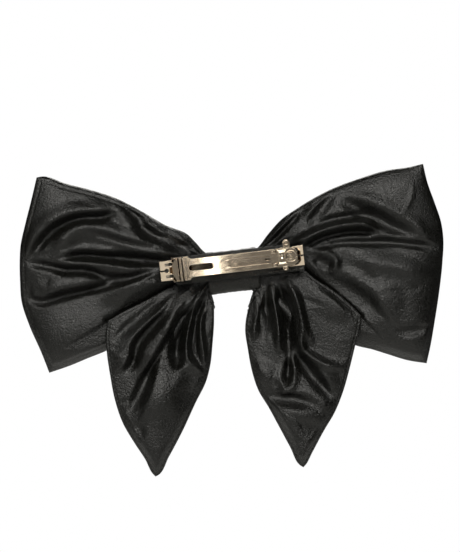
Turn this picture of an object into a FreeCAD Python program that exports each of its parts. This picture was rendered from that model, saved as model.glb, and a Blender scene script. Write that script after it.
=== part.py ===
"""Large bow of black leatherette on an 80 mm metal French barrette.

Frame, in millimetres: X to the right as the clip is seen, Y away from the head (the clip's side is -Y
and the bow's showy side is +Y), Z up. The tails hang down. The origin is the middle of the clip's base
plate, on the face that the hair lies on. The clip, the band and the strip under the clip are sewn on
at a slight tilt, so they are drawn level and turned about the Y axis by clip_tilt.

In the clip's own directions, a station is the distance along it from the middle, positive to the
right, and a lift is the distance from the base plate's middle towards the head, along -Y.
"""

import FreeCAD, Part
import math
import os
import Sketcher
from FreeCAD import Placement, Rotation, Vector

SIZES = {
    "Clip": {
        "clip_tilt": 6.6,
        "plate_length": 80.0,
        "plate_width": 10.0,
        "plate_end_width": 11.0,
        "plate_thickness": 0.8,
        "plate_bow_height": 6.0,
        "end_slit_width": 0.8,
        "end_slit_length": 3.6,
        "end_notch_radius": 1.1,
        "sewing_hole_inset": 6.0,
        "sewing_hole_spread": 3.3,
        "sewing_hole_radius": 0.95,
        "lip_length": 3.4,
        "lip_width": 12.0,
        "lip_thickness": 0.7,
        "lip_stem_width": 6.0,
    },
    "Top bar and its hinge": {
        "hinge_inset": 11.8,
        "hinge_pin_radius": 0.45,
        "hinge_pin_clearance": 0.05,
        "hinge_barrel_radius": 1.1,
        "hinge_barrel_length": 11.2,
        "hinge_side_clearance": 0.3,
        "lug_thickness": 0.7,
        "lug_radius": 1.3,
        "bar_lift": 6.2,
        "bar_thickness": 0.8,
        "bar_bow_height": 1.86,
        "bar_width": 10.0,
        "bar_head_width": 13.0,
        "bar_head_length": 2.8,
        "bar_head_taper": 1.4,
        "bar_joggle": 0.6,
        "bar_joggle_inset": 17.4,
        "bar_joggle_length": 1.2,
        "bar_end_width": 9.8,
        "bar_end_inset": 3.6,
        "short_slot_gap": 4.3,
        "short_slot_length": 13.8,
        "short_slot_width": 3.5,
        "slot_bridge": 2.6,
        "long_slot_gap": 0.7,
        "long_slot_width": 4.6,
    },
    "Tension leaf": {
        "leaf_width": 3.9,
        "leaf_thickness": 0.4,
        "leaf_gap": 0.4,
        "leaf_hook_gap": 4.2,
        "leaf_curl_radius": 0.35,
        "leaf_hook_clearance": 0.35,
        "leaf_ramp_length": 13.0,
        "leaf_tip_overlap": 1.4,
        "leaf_hole_inset": 4.2,
        "leaf_hole_radius": 0.7,
    },
    "Clasp": {
        "clasp_inset": 7.65,
        "window_length": 2.8,
        "window_width": 5.2,
        "window_clearance": 0.35,
        "bracket_width": 4.6,
        "bracket_thickness": 0.6,
        "bracket_before": 5.35,
        "bracket_after": 2.85,
        "rivet_radius": 0.7,
        "rivet_head_radius": 1.2,
        "rivet_head_height": 0.7,
        "ear_thickness": 0.5,
        "ear_running_gap": 0.1,
        "ear_bar_gap": 0.7,
        "upper_ear_offset": 1.45,
        "upper_ear_radius": 1.9,
        "upper_ear_reach": 9.7,
        "lower_ear_offset": 3.05,
        "lower_ear_radius": 1.5,
        "lower_ear_reach": 7.4,
        "ear_leg_thickness": 0.6,
        "ear_barb_length": 0.45,
        "ear_barb_height": 0.6,
    },
    "Strip, band and stitches": {
        "strip_thickness": 1.2,
        "strip_overhang": 0.3,
        "strip_width": 15.4,
        "strip_offset": -0.7,
        "band_length": 29.0,
        "band_height": 23.5,
        "band_depth": 14.6,
        "band_offset": -4.25,
        "band_thickness": 1.6,
        "band_corner": 4.5,
        "core_length": 8.0,
        "core_clearance": 1.2,
        "tail_mouth_clearance": 2.2,
        "stitch_count": 6.0,
        "stitch_length": 2.6,
        "stitch_pitch": 3.3,
        "stitch_end_inset": 1.5,
        "stitch_radius": 0.3,
        "stitch_edge_inset": 1.0,
        "sewing_thread_radius": 0.55,
        "sewing_thread_stand": 0.5,
    },
    "Loops": {
        "loop_back_puff": 9.0,
        "loop_front_puff": 15.0,
        "loop_edge_puff": 2.0,
        "loop_rest_depth": 8.0,
        "left_loop_reach": 118.5,
        "left_loop_top": 48.4,
        "left_loop_top_corner": 108.7,
        "left_loop_bottom": 60.5,
        "left_loop_bottom_corner": 101.8,
        "right_loop_reach": 118.2,
        "right_loop_top": 55.6,
        "right_loop_top_corner": 106.4,
        "right_loop_bottom": 55.5,
        "right_loop_bottom_corner": 108.3,
    },
    "Tails": {
        "tail_puff": 3.4,
        "tail_lift": 5.0,
        "left_tail_inner": 10.0,
        "left_tail_reach": 69.0,
        "left_tail_corner_drop": 31.2,
        "left_tail_tip": 41.5,
        "left_tail_drop": 118.4,
        "right_tail_inner": 7.5,
        "right_tail_reach": 71.0,
        "right_tail_corner_drop": 27.8,
        "right_tail_tip": 39.7,
        "right_tail_drop": 112.9,
    },
}

# Radii and stations worked out from the sizes, so that a longer plate moves them all together.
PLACES = {
    "plate_bow_radius": "((<plate_length>^2/4 + <plate_bow_height>^2)/(2*<plate_bow_height>))",
    "bar_bow_radius": "((<plate_length>^2/4 + <bar_bow_height>^2)/(2*<bar_bow_height>))",
    "hinge_station": "(<plate_length>/2 - <hinge_inset>)",
    "sewing_hole_station": "(<plate_length>/2 - <sewing_hole_inset>)",
    "clasp_station": "(<plate_length>/2 - <clasp_inset>)",
    "bar_end_station": "(<plate_length>/2 - <bar_end_inset>)",
    "bar_joggle_station": "(<plate_length>/2 - <bar_joggle_inset>)",
    "short_slot_start": "(-<hinge_station> + <short_slot_gap>)",
    "short_slot_end": "(<short_slot_start> + <short_slot_length>)",
    "long_slot_start": "(<short_slot_end> + <slot_bridge>)",
    "long_slot_end": "(<bar_joggle_station> - <long_slot_gap>)",
    "leaf_hook_station": "(-<hinge_station> + <leaf_hook_gap>)",
    "leaf_ramp_end": "(<leaf_hook_station> + <leaf_ramp_length>)",
    "leaf_tip_station": "(<bar_joggle_station> + <leaf_tip_overlap>)",
    "leaf_hole_station": "(<leaf_tip_station> - <leaf_hole_inset>)",
    "bracket_start": "(<clasp_station> - <bracket_before>)",
    "bracket_end": "(<clasp_station> + <bracket_after>)",
    "last_stitch_end": "(<plate_length>/2 + <strip_overhang> - <stitch_end_inset>)",
    "upper_ear_station": "(<clasp_station> - <upper_ear_offset>)",
    "lower_ear_station": "(<clasp_station> - <lower_ear_offset>)",
}

doc = FreeCAD.newDocument("HairBow")

# ---- the sheet of driving sizes

book = doc.addObject("Spreadsheet::Sheet", "Sizes")
row = 1
for group, entries in SIZES.items():
    book.set("A%d" % row, group)
    row += 1
    for alias, number in entries.items():
        book.set("A%d" % row, alias.replace("_", " "))
        book.set("B%d" % row, str(number))
        book.setAlias("B%d" % row, alias)
        row += 1
doc.recompute()


def bound(text):
    """The expression with each place spelt out and each size's alias pointed at the sheet."""
    for name, rule in reversed(PLACES.items()):
        text = text.replace("<%s>" % name, rule)
    for entries in SIZES.values():
        for alias in sorted(entries, key=len, reverse=True):
            text = text.replace("<%s>" % alias, "Sizes." + alias)
    return text


def value(text):
    """The number that an expression gives now."""
    return float(book.evalExpression(bound(text).replace("Sizes.", "")))


# ---- how sketches, pads and pockets are made

nodes = []


def new_body(name):
    """An empty body, kept for export under its own name."""
    body = doc.addObject("PartDesign::Body", name)
    body.Label = name
    nodes.append(body)
    return body


def new_sketch(body, name, role, offset="0", turn=None):
    """A sketch on one of the body's own origin planes, moved along its normal and turned about Y."""
    sketch = body.newObject("Sketcher::SketchObject", name)
    plane = [item for item in body.Origin.OriginFeatures if item.Role == role][0]
    sketch.AttachmentSupport = [(plane, "")]
    sketch.MapMode = "FlatFace"
    if turn is None:
        sketch.setExpression("AttachmentOffset.Base.z", bound(offset))
        return sketch
    across, up, angle = turn
    sketch.AttachmentOffset = Placement(Vector(), Rotation(Vector(0, 1, 0), value(angle)))
    sketch.setExpression("AttachmentOffset.Base.x", bound(across))
    sketch.setExpression("AttachmentOffset.Base.z", bound(up))
    sketch.setExpression("AttachmentOffset.Rotation.Angle", bound(angle))
    return sketch


def constrain(sketch, kind, *where):
    """A dimension constraint whose last argument is its expression."""
    text = where[-1]
    index = sketch.addConstraint(Sketcher.Constraint(kind, *where[:-1], value(text)))
    sketch.setExpression("Constraints[%d]" % index, bound(text))


def add_outline(sketch, corners):
    """A closed outline through corners (x, y). A third item is the radius of the arc to the next corner.

    A positive radius bulges to the left of the way the outline runs, and a negative one to the right.
    """
    spots = [Vector(value(corner[0]), value(corner[1]), 0) for corner in corners]
    joints = []
    for index, corner in enumerate(corners):
        start = spots[index]
        end = spots[(index + 1) % len(corners)]
        if len(corner) == 2:
            edge = sketch.addGeometry(Part.LineSegment(start, end))
            joints.append((edge, 1, 2))
            continue
        radius = value(corner[2])
        chord = end - start
        height = abs(radius) - math.sqrt(max(radius**2 - (chord.Length / 2) ** 2, 0))
        left = Vector(-chord.y, chord.x, 0).normalize()
        middle = (start + end) * 0.5 + left * math.copysign(height, radius)
        edge = sketch.addGeometry(Part.Arc(start, middle, end))
        joints.append((edge, 2, 1) if radius > 0 else (edge, 1, 2))
        constrain(sketch, "Radius", edge, "abs(%s)" % corner[2])
    for index, (edge, first, last) in enumerate(joints):
        next_edge, next_first, _ = joints[(index + 1) % len(joints)]
        sketch.addConstraint(Sketcher.Constraint("Coincident", edge, last, next_edge, next_first))
        constrain(sketch, "DistanceX", -1, 1, edge, first, corners[index][0])
        constrain(sketch, "DistanceY", -1, 1, edge, first, corners[index][1])


def add_circle(sketch, x, y, radius):
    """A circle with its centre and radius bound."""
    spot = Vector(value(x), value(y), 0)
    edge = sketch.addGeometry(Part.Circle(spot, Vector(0, 0, 1), value(radius)))
    constrain(sketch, "Radius", edge, radius)
    constrain(sketch, "DistanceX", -1, 1, edge, 3, x)
    constrain(sketch, "DistanceY", -1, 1, edge, 3, y)


def box_corners(x_low, x_high, y_low, y_high):
    """The four corners of a rectangle."""
    return [(x_low, y_low), (x_high, y_low), (x_high, y_high), (x_low, y_high)]


def slot_corners(start, end, width):
    """A slot along x, centred on y = 0, with round ends."""
    half = "(%s)/2" % width
    low = "(%s) + %s" % (start, half)
    high = "(%s) - %s" % (end, half)
    round_end = "-(%s)*1.0001" % half
    return [(low, "-" + half), (high, "-" + half, round_end), (high, half), (low, half, round_end)]


def pad(body, sketch, length):
    """Material from the sketch along its normal."""
    feature = body.newObject("PartDesign::Pad", sketch.Name + "_pad")
    feature.Profile = sketch
    feature.setExpression("Length", bound(length))
    doc.recompute()
    return feature


def cut_through(body, sketch):
    """A pocket right through the body, both ways from the sketch."""
    before = body.Shape.Volume
    feature = body.newObject("PartDesign::Pocket", sketch.Name + "_pocket")
    feature.Profile = sketch
    feature.Type = "ThroughAll"
    feature.SideType = "Symmetric"
    doc.recompute()
    if body.Shape.Volume >= before:
        raise RuntimeError("%s cuts nothing" % sketch.Label)


def arc_y(radius, lift, station):
    """Y on a face bowed towards the head at its ends: lift at the middle, and radius."""
    return "-(%s) - (%s) + sqrt((%s)^2 - (%s)^2)" % (lift, radius, radius, station)


def bowed_strip(body, name, radius, lift, thickness, start, end, low, width):
    """A strip of even thickness bent to a radius, from station start to end and from low upwards."""
    inner = "(%s) - (%s)" % (radius, thickness)
    inner_lift = "(%s) + (%s)" % (lift, thickness)
    sketch = new_sketch(body, name, "XY_Plane", low)
    add_outline(
        sketch,
        [
            (start, arc_y(radius, lift, start), radius),
            (end, arc_y(radius, lift, end)),
            (end, arc_y(inner, inner_lift, end), "-(%s)" % inner),
            (start, arc_y(inner, inner_lift, start)),
        ],
    )
    pad(body, sketch, width)


def tilt(item):
    """Turn a piece drawn level to the clip's tilt about the origin."""
    item.Placement = Placement(Vector(), Rotation(Vector(0, 1, 0), -value("<clip_tilt>")))
    item.setExpression("Placement.Rotation.Angle", bound("-<clip_tilt>"))


# ---- places that several pieces share, as expressions

plate_face_radius = "(<plate_bow_radius> - <plate_thickness>)"
bar_bow = "(<bar_bow_radius> - sqrt(<bar_bow_radius>^2 - (%s)^2))"
pin_lift = "(<bar_lift> + <bar_thickness>/2 + %s)" % (bar_bow % "<hinge_station>")
lug_low = "(<hinge_barrel_length>/2 + <hinge_side_clearance>)"
hinge_half_width = "(%s + <lug_thickness>)" % lug_low
end_plate_back = "(<bar_lift> + <bar_joggle> + %s)" % (bar_bow % "<clasp_station>")
end_plate_front = "(%s + <bar_thickness>)" % end_plate_back
ear_back = "(%s - <ear_bar_gap> - <ear_thickness>)" % end_plate_back
shelf_back = "(%s - <ear_running_gap> - <bracket_thickness>)" % ear_back
hook_reach = "(<leaf_curl_radius> + <leaf_hook_clearance>)"


# ---- base plate: stamped and bowed steel strip, with hinge lugs, a lip and four sewing holes


def base_plate():
    body = new_body("base_plate")
    bowed_strip(
        body,
        "plate_side",
        "<plate_bow_radius>",
        "-<plate_thickness>",
        "<plate_thickness>",
        "-<plate_length>/2",
        "<plate_length>/2",
        "-" + hinge_half_width,
        "2*" + hinge_half_width,
    )
    trims = new_sketch(body, "plate_sides_trimmed", "XZ_Plane")
    hinge_left = "-<hinge_station> - <lug_radius> - <hinge_side_clearance> - <lip_length>"
    hinge_right = "-<hinge_station> + <lug_radius>"
    outside = hinge_half_width + " + 1"
    stretches = [
        ("-<plate_length>/2 - 1", hinge_left, "<plate_end_width>/2"),
        (hinge_right, "<bracket_start> - 2", "<plate_width>/2"),
        ("<bracket_start> - 2", "<plate_length>/2 + 1", "<plate_end_width>/2"),
    ]
    for start, end, half in stretches:
        add_outline(trims, box_corners(start, end, half, outside))
        add_outline(trims, box_corners(start, end, "-(%s)" % outside, "-" + half))
    cut_through(body, trims)
    holes = new_sketch(body, "plate_holes", "XZ_Plane")
    for side in ("-", ""):
        for half in ("-", ""):
            station = side + "<sewing_hole_station>"
            add_circle(holes, station, half + "<sewing_hole_spread>", "<sewing_hole_radius>")
    hook_low = "<leaf_hook_station> - " + hook_reach
    hook_high = "<leaf_hook_station> + " + hook_reach
    hook_half = "(<leaf_width>/2 + <leaf_hook_clearance>)"
    add_outline(holes, box_corners(hook_low, hook_high, "-" + hook_half, hook_half))
    add_circle(holes, "<clasp_station>", "0", "<rivet_radius>")
    cut_through(body, holes)
    slits = new_sketch(body, "plate_end_slits", "XZ_Plane")
    slit_start = "<plate_length>/2 - <end_slit_length>"
    slit_end = "<plate_length>/2 + 1"
    slit_half = "<end_slit_width>/2"
    add_outline(slits, box_corners(slit_start, slit_end, "-" + slit_half, slit_half))
    add_outline(slits, box_corners("-(%s)" % slit_end, "-(%s)" % slit_start, "-" + slit_half, slit_half))
    cut_through(body, slits)
    notch = new_sketch(body, "plate_end_notch", "XZ_Plane")
    add_circle(notch, "-<plate_length>/2 + <end_slit_length>", "0", "<end_notch_radius>")
    cut_through(body, notch)

    plate_y = arc_y("<plate_bow_radius>", "-<plate_thickness>/2", "<hinge_station>")
    for name, low in (("upper_lug", lug_low), ("lower_lug", "-" + hinge_half_width)):
        lug = new_sketch(body, name, "XY_Plane", low)
        left = "-<hinge_station> - <lug_radius>"
        right = "-<hinge_station> + <lug_radius>"
        top = "-" + pin_lift
        add_outline(
            lug,
            [(left, plate_y), (left, top, "-<lug_radius>*1.0001"), (right, top), (right, plate_y)],
        )
        pad(body, lug, "<lug_thickness>")
    bore = new_sketch(body, "lug_bore", "XY_Plane")
    add_circle(bore, "-<hinge_station>", "-" + pin_lift, "<hinge_pin_radius>")
    cut_through(body, bore)

    lip_right = "-<hinge_station> - <lug_radius> - <hinge_side_clearance>"
    lip_left = "%s - <lip_length>" % lip_right
    lip_half = "<lip_width>/2"
    lip = new_sketch(body, "lip", "XZ_Plane", pin_lift + " - <lip_thickness>/2")
    shoulder = "%s - <lip_length>/3" % lip_right
    crown = "((%s)^2 + (<lip_length>*2/3)^2)/(2*<lip_length>*2/3)" % lip_half
    add_outline(
        lip,
        [
            (lip_right, "-" + lip_half),
            (lip_right, lip_half),
            (shoulder, lip_half, "-(%s)*1.0001" % crown),
            (shoulder, "-" + lip_half),
        ],
    )
    pad(body, lip, "<lip_thickness>")
    stem = new_sketch(body, "lip_stem", "XY_Plane", "-<lip_stem_width>/2")
    stem_y = arc_y("<plate_bow_radius>", "-<plate_thickness>/2", lip_left)
    stem_right = "%s + <lip_thickness>*2" % lip_left
    stem_left = "%s + <lip_thickness>" % lip_left
    add_outline(stem, box_corners(stem_left, stem_right, "-%s" % pin_lift, stem_y))
    pad(body, stem, "<lip_stem_width>")
    tilt(body)


# ---- top bar: the arm that closes over the hair, with a rolled barrel at its hinge end


def top_bar():
    body = new_body("top_bar")
    head_half = "<bar_head_width>/2"
    bar_half = "<bar_width>/2"
    joggle_end = "<bar_joggle_station> + <bar_joggle_length>"
    bowed_strip(
        body,
        "bar_side",
        "<bar_bow_radius>",
        "<bar_lift>",
        "<bar_thickness>",
        "-<hinge_station>",
        joggle_end,
        "-" + head_half,
        "<bar_head_width>",
    )
    head_start = "-<hinge_station> + <lug_radius> + <hinge_side_clearance>"
    head_end = "%s + <bar_head_length>" % head_start
    taper_end = "%s + <bar_head_taper>" % head_end
    trims = new_sketch(body, "bar_sides_trimmed", "XZ_Plane")
    for sign in ("", "-"):
        edge = sign + bar_half
        wide = sign + head_half
        out = sign + "(%s + 1)" % head_half
        neck = sign + "(<hinge_barrel_length>/2)"
        add_outline(trims, box_corners("-<hinge_station> - 1", head_start, neck, out))
        add_outline(
            trims,
            [
                (head_end, wide),
                (taper_end, edge),
                ("%s + 1" % joggle_end, edge),
                ("%s + 1" % joggle_end, out),
                (head_end, out),
            ],
        )
    cut_through(body, trims)
    bowed_strip(
        body,
        "bar_end_side",
        "<bar_bow_radius>",
        "<bar_lift> + <bar_joggle>",
        "<bar_thickness>",
        "<bar_joggle_station>",
        "<bar_end_station>",
        "-<bar_end_width>/2",
        "<bar_end_width>",
    )
    barrel = new_sketch(body, "bar_barrel", "XY_Plane", "-<hinge_barrel_length>/2")
    add_circle(barrel, "-<hinge_station>", "-" + pin_lift, "<hinge_barrel_radius>")
    pad(body, barrel, "<hinge_barrel_length>")
    bore = new_sketch(body, "barrel_bore", "XY_Plane")
    add_circle(bore, "-<hinge_station>", "-" + pin_lift, "<hinge_pin_radius> + <hinge_pin_clearance>")
    cut_through(body, bore)
    holes = new_sketch(body, "bar_slots", "XZ_Plane")
    add_outline(holes, slot_corners("<short_slot_start>", "<short_slot_end>", "<short_slot_width>"))
    add_outline(holes, slot_corners("<long_slot_start>", "<long_slot_end>", "<long_slot_width>"))
    window_low = "<clasp_station> - <window_length>/2"
    window_high = "<clasp_station> + <window_length>/2"
    window_half = "<window_width>/2"
    add_outline(holes, box_corners(window_low, window_high, "-" + window_half, window_half))
    cut_through(body, holes)
    corners = new_sketch(body, "bar_end_rounded", "XZ_Plane")
    end_half = "<bar_end_width>/2"
    end_arc = "<bar_end_width>*0.35"
    for sign, arc in (("", "-"), ("-", "")):
        add_outline(
            corners,
            [
                ("<bar_end_station> - " + end_arc, sign + "(%s + 0.5)" % end_half),
                ("<bar_end_station> - " + end_arc, sign + end_half, "%s<bar_end_width>*0.35*-1.0001" % arc),
                ("<bar_end_station>", sign + "(%s - %s)" % (end_half, end_arc)),
                ("<bar_end_station> + 0.5", sign + "(%s - %s)" % (end_half, end_arc)),
                ("<bar_end_station> + 0.5", sign + "(%s + 0.5)" % end_half),
            ],
        )
    cut_through(body, corners)
    tilt(body)


# ---- hinge pin: plain wire through the lugs and the rolled barrel


def hinge_pin():
    body = new_body("hinge_pin")
    sketch = new_sketch(body, "pin_section", "XY_Plane", "-" + hinge_half_width)
    add_circle(sketch, "-<hinge_station>", "-" + pin_lift, "<hinge_pin_radius>")
    pad(body, sketch, "2*" + hinge_half_width)
    tilt(body)


# ---- tension leaf: thin spring strip hooked in the base plate, arched up close under the bar


def tension_bar():
    body = new_body("tension_bar")
    leaf_lift = "<bar_lift> - <leaf_gap> - <leaf_thickness>"
    ramp_end = "<leaf_ramp_end>"
    bowed_strip(
        body,
        "leaf_side",
        "<bar_bow_radius>",
        leaf_lift,
        "<leaf_thickness>",
        ramp_end,
        "<leaf_tip_station>",
        "-<leaf_width>/2",
        "<leaf_width>",
    )
    ramp = new_sketch(body, "leaf_ramp", "XY_Plane", "-<leaf_width>/2")
    hook_back = arc_y(plate_face_radius, "0", "<leaf_hook_station>")
    hook_left = "<leaf_hook_station> - <leaf_thickness>/2"
    hook_right = "<leaf_hook_station> + <leaf_thickness>/2"
    bend = "%s - <leaf_thickness>*3" % hook_back
    leaf_radius = "<bar_bow_radius>"
    face_radius = "(<bar_bow_radius> - <leaf_thickness>)"
    top_y = arc_y(face_radius, "<bar_lift> - <leaf_gap>", ramp_end)
    back_y = arc_y(leaf_radius, leaf_lift, ramp_end)
    add_outline(
        ramp,
        [
            (hook_left, hook_back),
            (hook_left, bend),
            (ramp_end, top_y),
            (ramp_end + " + <leaf_thickness>", top_y),
            (ramp_end + " + <leaf_thickness>", back_y),
            (hook_right, bend + " + <leaf_thickness>/2"),
            (hook_right, hook_back),
        ],
    )
    pad(body, ramp, "<leaf_width>")
    curl = new_sketch(body, "leaf_curl", "XY_Plane", "-<leaf_width>/2")
    add_circle(curl, "<leaf_hook_station>", hook_back, "<leaf_curl_radius>")
    pad(body, curl, "<leaf_width>")
    hole = new_sketch(body, "leaf_hole", "XZ_Plane")
    add_outline(
        hole,
        slot_corners(
            "<leaf_hole_station> - 2*<leaf_hole_radius>",
            "<leaf_hole_station> + 2*<leaf_hole_radius>",
            "2*<leaf_hole_radius>",
        ),
    )
    cut_through(body, hole)
    tilt(body)


# ---- clasp: a bent bracket riveted to the plate, and two squeeze ears that slide on its shelf


def clasp_bracket():
    body = new_body("clasp_bracket")
    half = "-<bracket_width>/2"
    bowed_strip(
        body,
        "bracket_foot",
        plate_face_radius,
        "0",
        "<bracket_thickness>",
        "<bracket_start>",
        "<bracket_end>",
        half,
        "<bracket_width>",
    )
    shelf = new_sketch(body, "bracket_shelf", "XY_Plane", half)
    foot_y = arc_y(plate_face_radius, "<bracket_thickness>/2", "<bracket_start>")
    riser = "<bracket_start> + <bracket_thickness>"
    add_outline(
        shelf,
        [
            ("<bracket_start>", foot_y),
            ("<bracket_start>", "-(%s + <bracket_thickness>)" % shelf_back),
            ("<bracket_end>", "-(%s + <bracket_thickness>)" % shelf_back),
            ("<bracket_end>", "-" + shelf_back),
            (riser, "-" + shelf_back),
            (riser, foot_y),
        ],
    )
    pad(body, shelf, "<bracket_width>")
    bore = new_sketch(body, "bracket_bore", "XZ_Plane")
    add_circle(bore, "<clasp_station>", "0", "<rivet_radius>")
    before = body.Shape.Volume
    feature = body.newObject("PartDesign::Pocket", "bracket_bore_pocket")
    feature.Profile = bore
    feature.Reversed = True
    feature.setExpression("Length", bound(shelf_back))
    doc.recompute()
    if body.Shape.Volume >= before:
        raise RuntimeError("the bracket's bore cuts nothing")
    tilt(body)


def clasp_rivet():
    body = new_body("clasp_rivet")
    plate_face = "-(%s)" % arc_y(plate_face_radius, "0", "<clasp_station>")
    slope = "<rivet_radius>*<clasp_station>/<plate_bow_radius>"
    shank = new_sketch(body, "rivet_shank", "XZ_Plane", "%s - <plate_thickness> + %s" % (plate_face, slope))
    add_circle(shank, "<clasp_station>", "0", "<rivet_radius>")
    pad(body, shank, "<plate_thickness> + <bracket_thickness> + <rivet_head_height>/2")
    head = new_sketch(body, "rivet_head", "XZ_Plane", "%s + <bracket_thickness>" % plate_face)
    add_circle(head, "<clasp_station>", "0", "<rivet_head_radius>")
    pad(body, head, "<rivet_head_height>")
    tilt(body)


def release_ear(word, sign):
    body = new_body(word + "_release_ear")
    station = "<%s_ear_station>" % word
    radius = "<%s_ear_radius>" % word
    reach = "<%s_ear_reach>" % word
    left = "%s - %s" % (station, radius)
    right = "%s + %s" % (station, radius)
    leg_low = "<clasp_station> - <window_length>/2 + <window_clearance>"
    leg_high = "<clasp_station> + <window_length>/2 - <window_clearance>"
    barb_far = sign + "(<window_width>/2 - <window_clearance>)"
    leg_far = sign + "(<window_width>/2 - <window_clearance> - <ear_barb_length>)"
    leg_near = sign + "(<window_width>/2 - <window_clearance> - <ear_barb_length> - <ear_leg_thickness>)"
    shoulder = sign + "<bar_end_width>/2"
    tip = sign + "(%s - %s)" % (reach, radius)
    bulge = "" if sign == "-" else "-"
    plate = new_sketch(body, word + "_ear_plate", "XZ_Plane", ear_back)
    add_outline(
        plate,
        [
            (left, leg_near),
            (leg_high, leg_near),
            (leg_high, shoulder),
            (right, shoulder),
            (right, tip, "%s(%s)*1.0001" % (bulge, radius)),
            (left, tip),
        ],
    )
    pad(body, plate, "<ear_thickness>")
    leg = new_sketch(body, word + "_ear_leg", "XZ_Plane", ear_back)
    add_outline(leg, box_corners(leg_low, leg_high, leg_near, leg_far))
    leg_top = "(%s + <window_clearance> + <ear_barb_height>)" % end_plate_front
    pad(body, leg, "%s - %s" % (leg_top, ear_back))
    barb = new_sketch(body, word + "_ear_barb", "XZ_Plane", "%s - <ear_barb_height>" % leg_top)
    add_outline(barb, box_corners(leg_low, leg_high, leg_near, barb_far))
    pad(body, barb, "<ear_barb_height>")
    tilt(body)


# ---- strip under the clip, band round the gathers, and the wound core that they hide


def backing_strip():
    body = new_body("backing_strip")
    bowed_strip(
        body,
        "strip_side",
        "(<plate_bow_radius> + <strip_thickness>)",
        "-<plate_thickness> - <strip_thickness>",
        "<strip_thickness>",
        "-<plate_length>/2 - <strip_overhang>",
        "<plate_length>/2 + <strip_overhang>",
        "<strip_offset> - <strip_width>/2",
        "<strip_width>",
    )
    tilt(body)


band_back = "(<plate_thickness> + <strip_thickness>)"


def rounded_box(inset):
    """The band's section in Y and Z, moved in by inset."""
    low_y = "(%s + %s)" % (band_back, inset)
    high_y = "(%s + <band_depth> - %s)" % (band_back, inset)
    low_z = "(<band_offset> - <band_height>/2 + %s)" % inset
    high_z = "(<band_offset> + <band_height>/2 - %s)" % inset
    corner = "(<band_corner> - %s)" % inset
    turn = "-%s*1.0001" % corner
    return [
        ("%s + %s" % (low_y, corner), low_z),
        ("%s - %s" % (high_y, corner), low_z, turn),
        (high_y, "%s + %s" % (low_z, corner)),
        (high_y, "%s - %s" % (high_z, corner), turn),
        ("%s - %s" % (high_y, corner), high_z),
        ("%s + %s" % (low_y, corner), high_z, turn),
        (low_y, "%s - %s" % (high_z, corner)),
        (low_y, "%s + %s" % (low_z, corner), turn),
    ]


def center_band():
    body = new_body("center_band")
    outside = new_sketch(body, "band_outside", "YZ_Plane", "-<band_length>/2")
    add_outline(outside, rounded_box("0"))
    pad(body, outside, "<band_length>")
    inside = new_sketch(body, "band_inside", "YZ_Plane")
    add_outline(inside, rounded_box("<band_thickness>"))
    cut_through(body, inside)
    tilt(body)


def gathered_core():
    body = new_body("gathered_core")
    sketch = new_sketch(body, "core_section", "YZ_Plane", "-<core_length>/2")
    add_outline(sketch, rounded_box("(<band_thickness> + <core_clearance>)"))
    pad(body, sketch, "<core_length>")


def compound(name, pieces):
    """One node that groups alike solids."""
    group = doc.addObject("Part::Compound", name)
    group.Label = name
    group.Links = pieces
    nodes.append(group)
    doc.recompute()
    return group


def thread(name, radius, length, turn, x, y, z):
    """A short straight piece of thread as a cylinder."""
    piece = doc.addObject("Part::Cylinder", name)
    piece.setExpression("Radius", bound(radius))
    piece.setExpression("Height", bound(length))
    piece.Placement = Placement(Vector(), turn)
    piece.setExpression("Placement.Base.x", bound(x))
    piece.setExpression("Placement.Base.y", bound(y))
    piece.setExpression("Placement.Base.z", bound(z))
    return piece


def backing_stitches():
    """Hand stitches along the strip's lower edge, towards the clasp end."""
    along = Rotation(Vector(0, 1, 0), 90)
    low_z = "<strip_offset> - <strip_width>/2 + <stitch_edge_inset>"
    pieces = []
    for index in range(int(value("<stitch_count>"))):
        start = "(<last_stitch_end> - <stitch_length> - %d*<stitch_pitch>)" % index
        middle = "(%s + <stitch_length>/2)" % start
        y = arc_y("<plate_bow_radius>", "-<plate_thickness>", middle) + " - <stitch_radius>/2"
        pieces.append(thread("stitch%d" % index, "<stitch_radius>", "<stitch_length>", along, start, y, low_z))
    tilt(compound("backing_stitches", pieces))


def plate_stitches():
    """Thread through the four sewing holes, drawn as plugs that stand a little proud of the plate."""
    outward = Rotation(Vector(1, 0, 0), 90)
    pieces = []
    for side in ("-", ""):
        for half in ("-", ""):
            station = side + "<sewing_hole_station>"
            face = arc_y("<plate_bow_radius>", "-<plate_thickness>", station)
            length = "<plate_thickness> + <sewing_thread_stand>"
            name = "sewing%d" % len(pieces)
            z = half + "<sewing_hole_spread>"
            pieces.append(thread(name, "<sewing_thread_radius>", length, outward, station, face, z))
    tilt(compound("plate_stitches", pieces))


# ---- loops and tails: each is a back and a front panel of leatherette seamed round the edge


def lens(sketch, flat, low, high, puff, forward, vertical):
    """A half lens: a straight edge at the seam plane, and an arc that stands puff out of it."""
    width = "((%s) - (%s))" % (high, low)
    radius = "((%s)^2/4 + (%s)^2)/(2*(%s))" % (width, puff, puff)
    if vertical:
        sign = "-" if forward else ""
        add_outline(sketch, [(flat, low, "%s(%s)" % (sign, radius)), (flat, high)])
    else:
        sign = "" if forward else "-"
        add_outline(sketch, [(low, flat, "%s(%s)" % (sign, radius)), (high, flat)])


def loft(body, name, sketches):
    """A ruled solid through the sketches in order."""
    feature = body.newObject("PartDesign::AdditiveLoft", name)
    feature.Profile = sketches[0]
    feature.Sections = sketches[1:]
    feature.Ruled = True
    doc.recompute()


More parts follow.
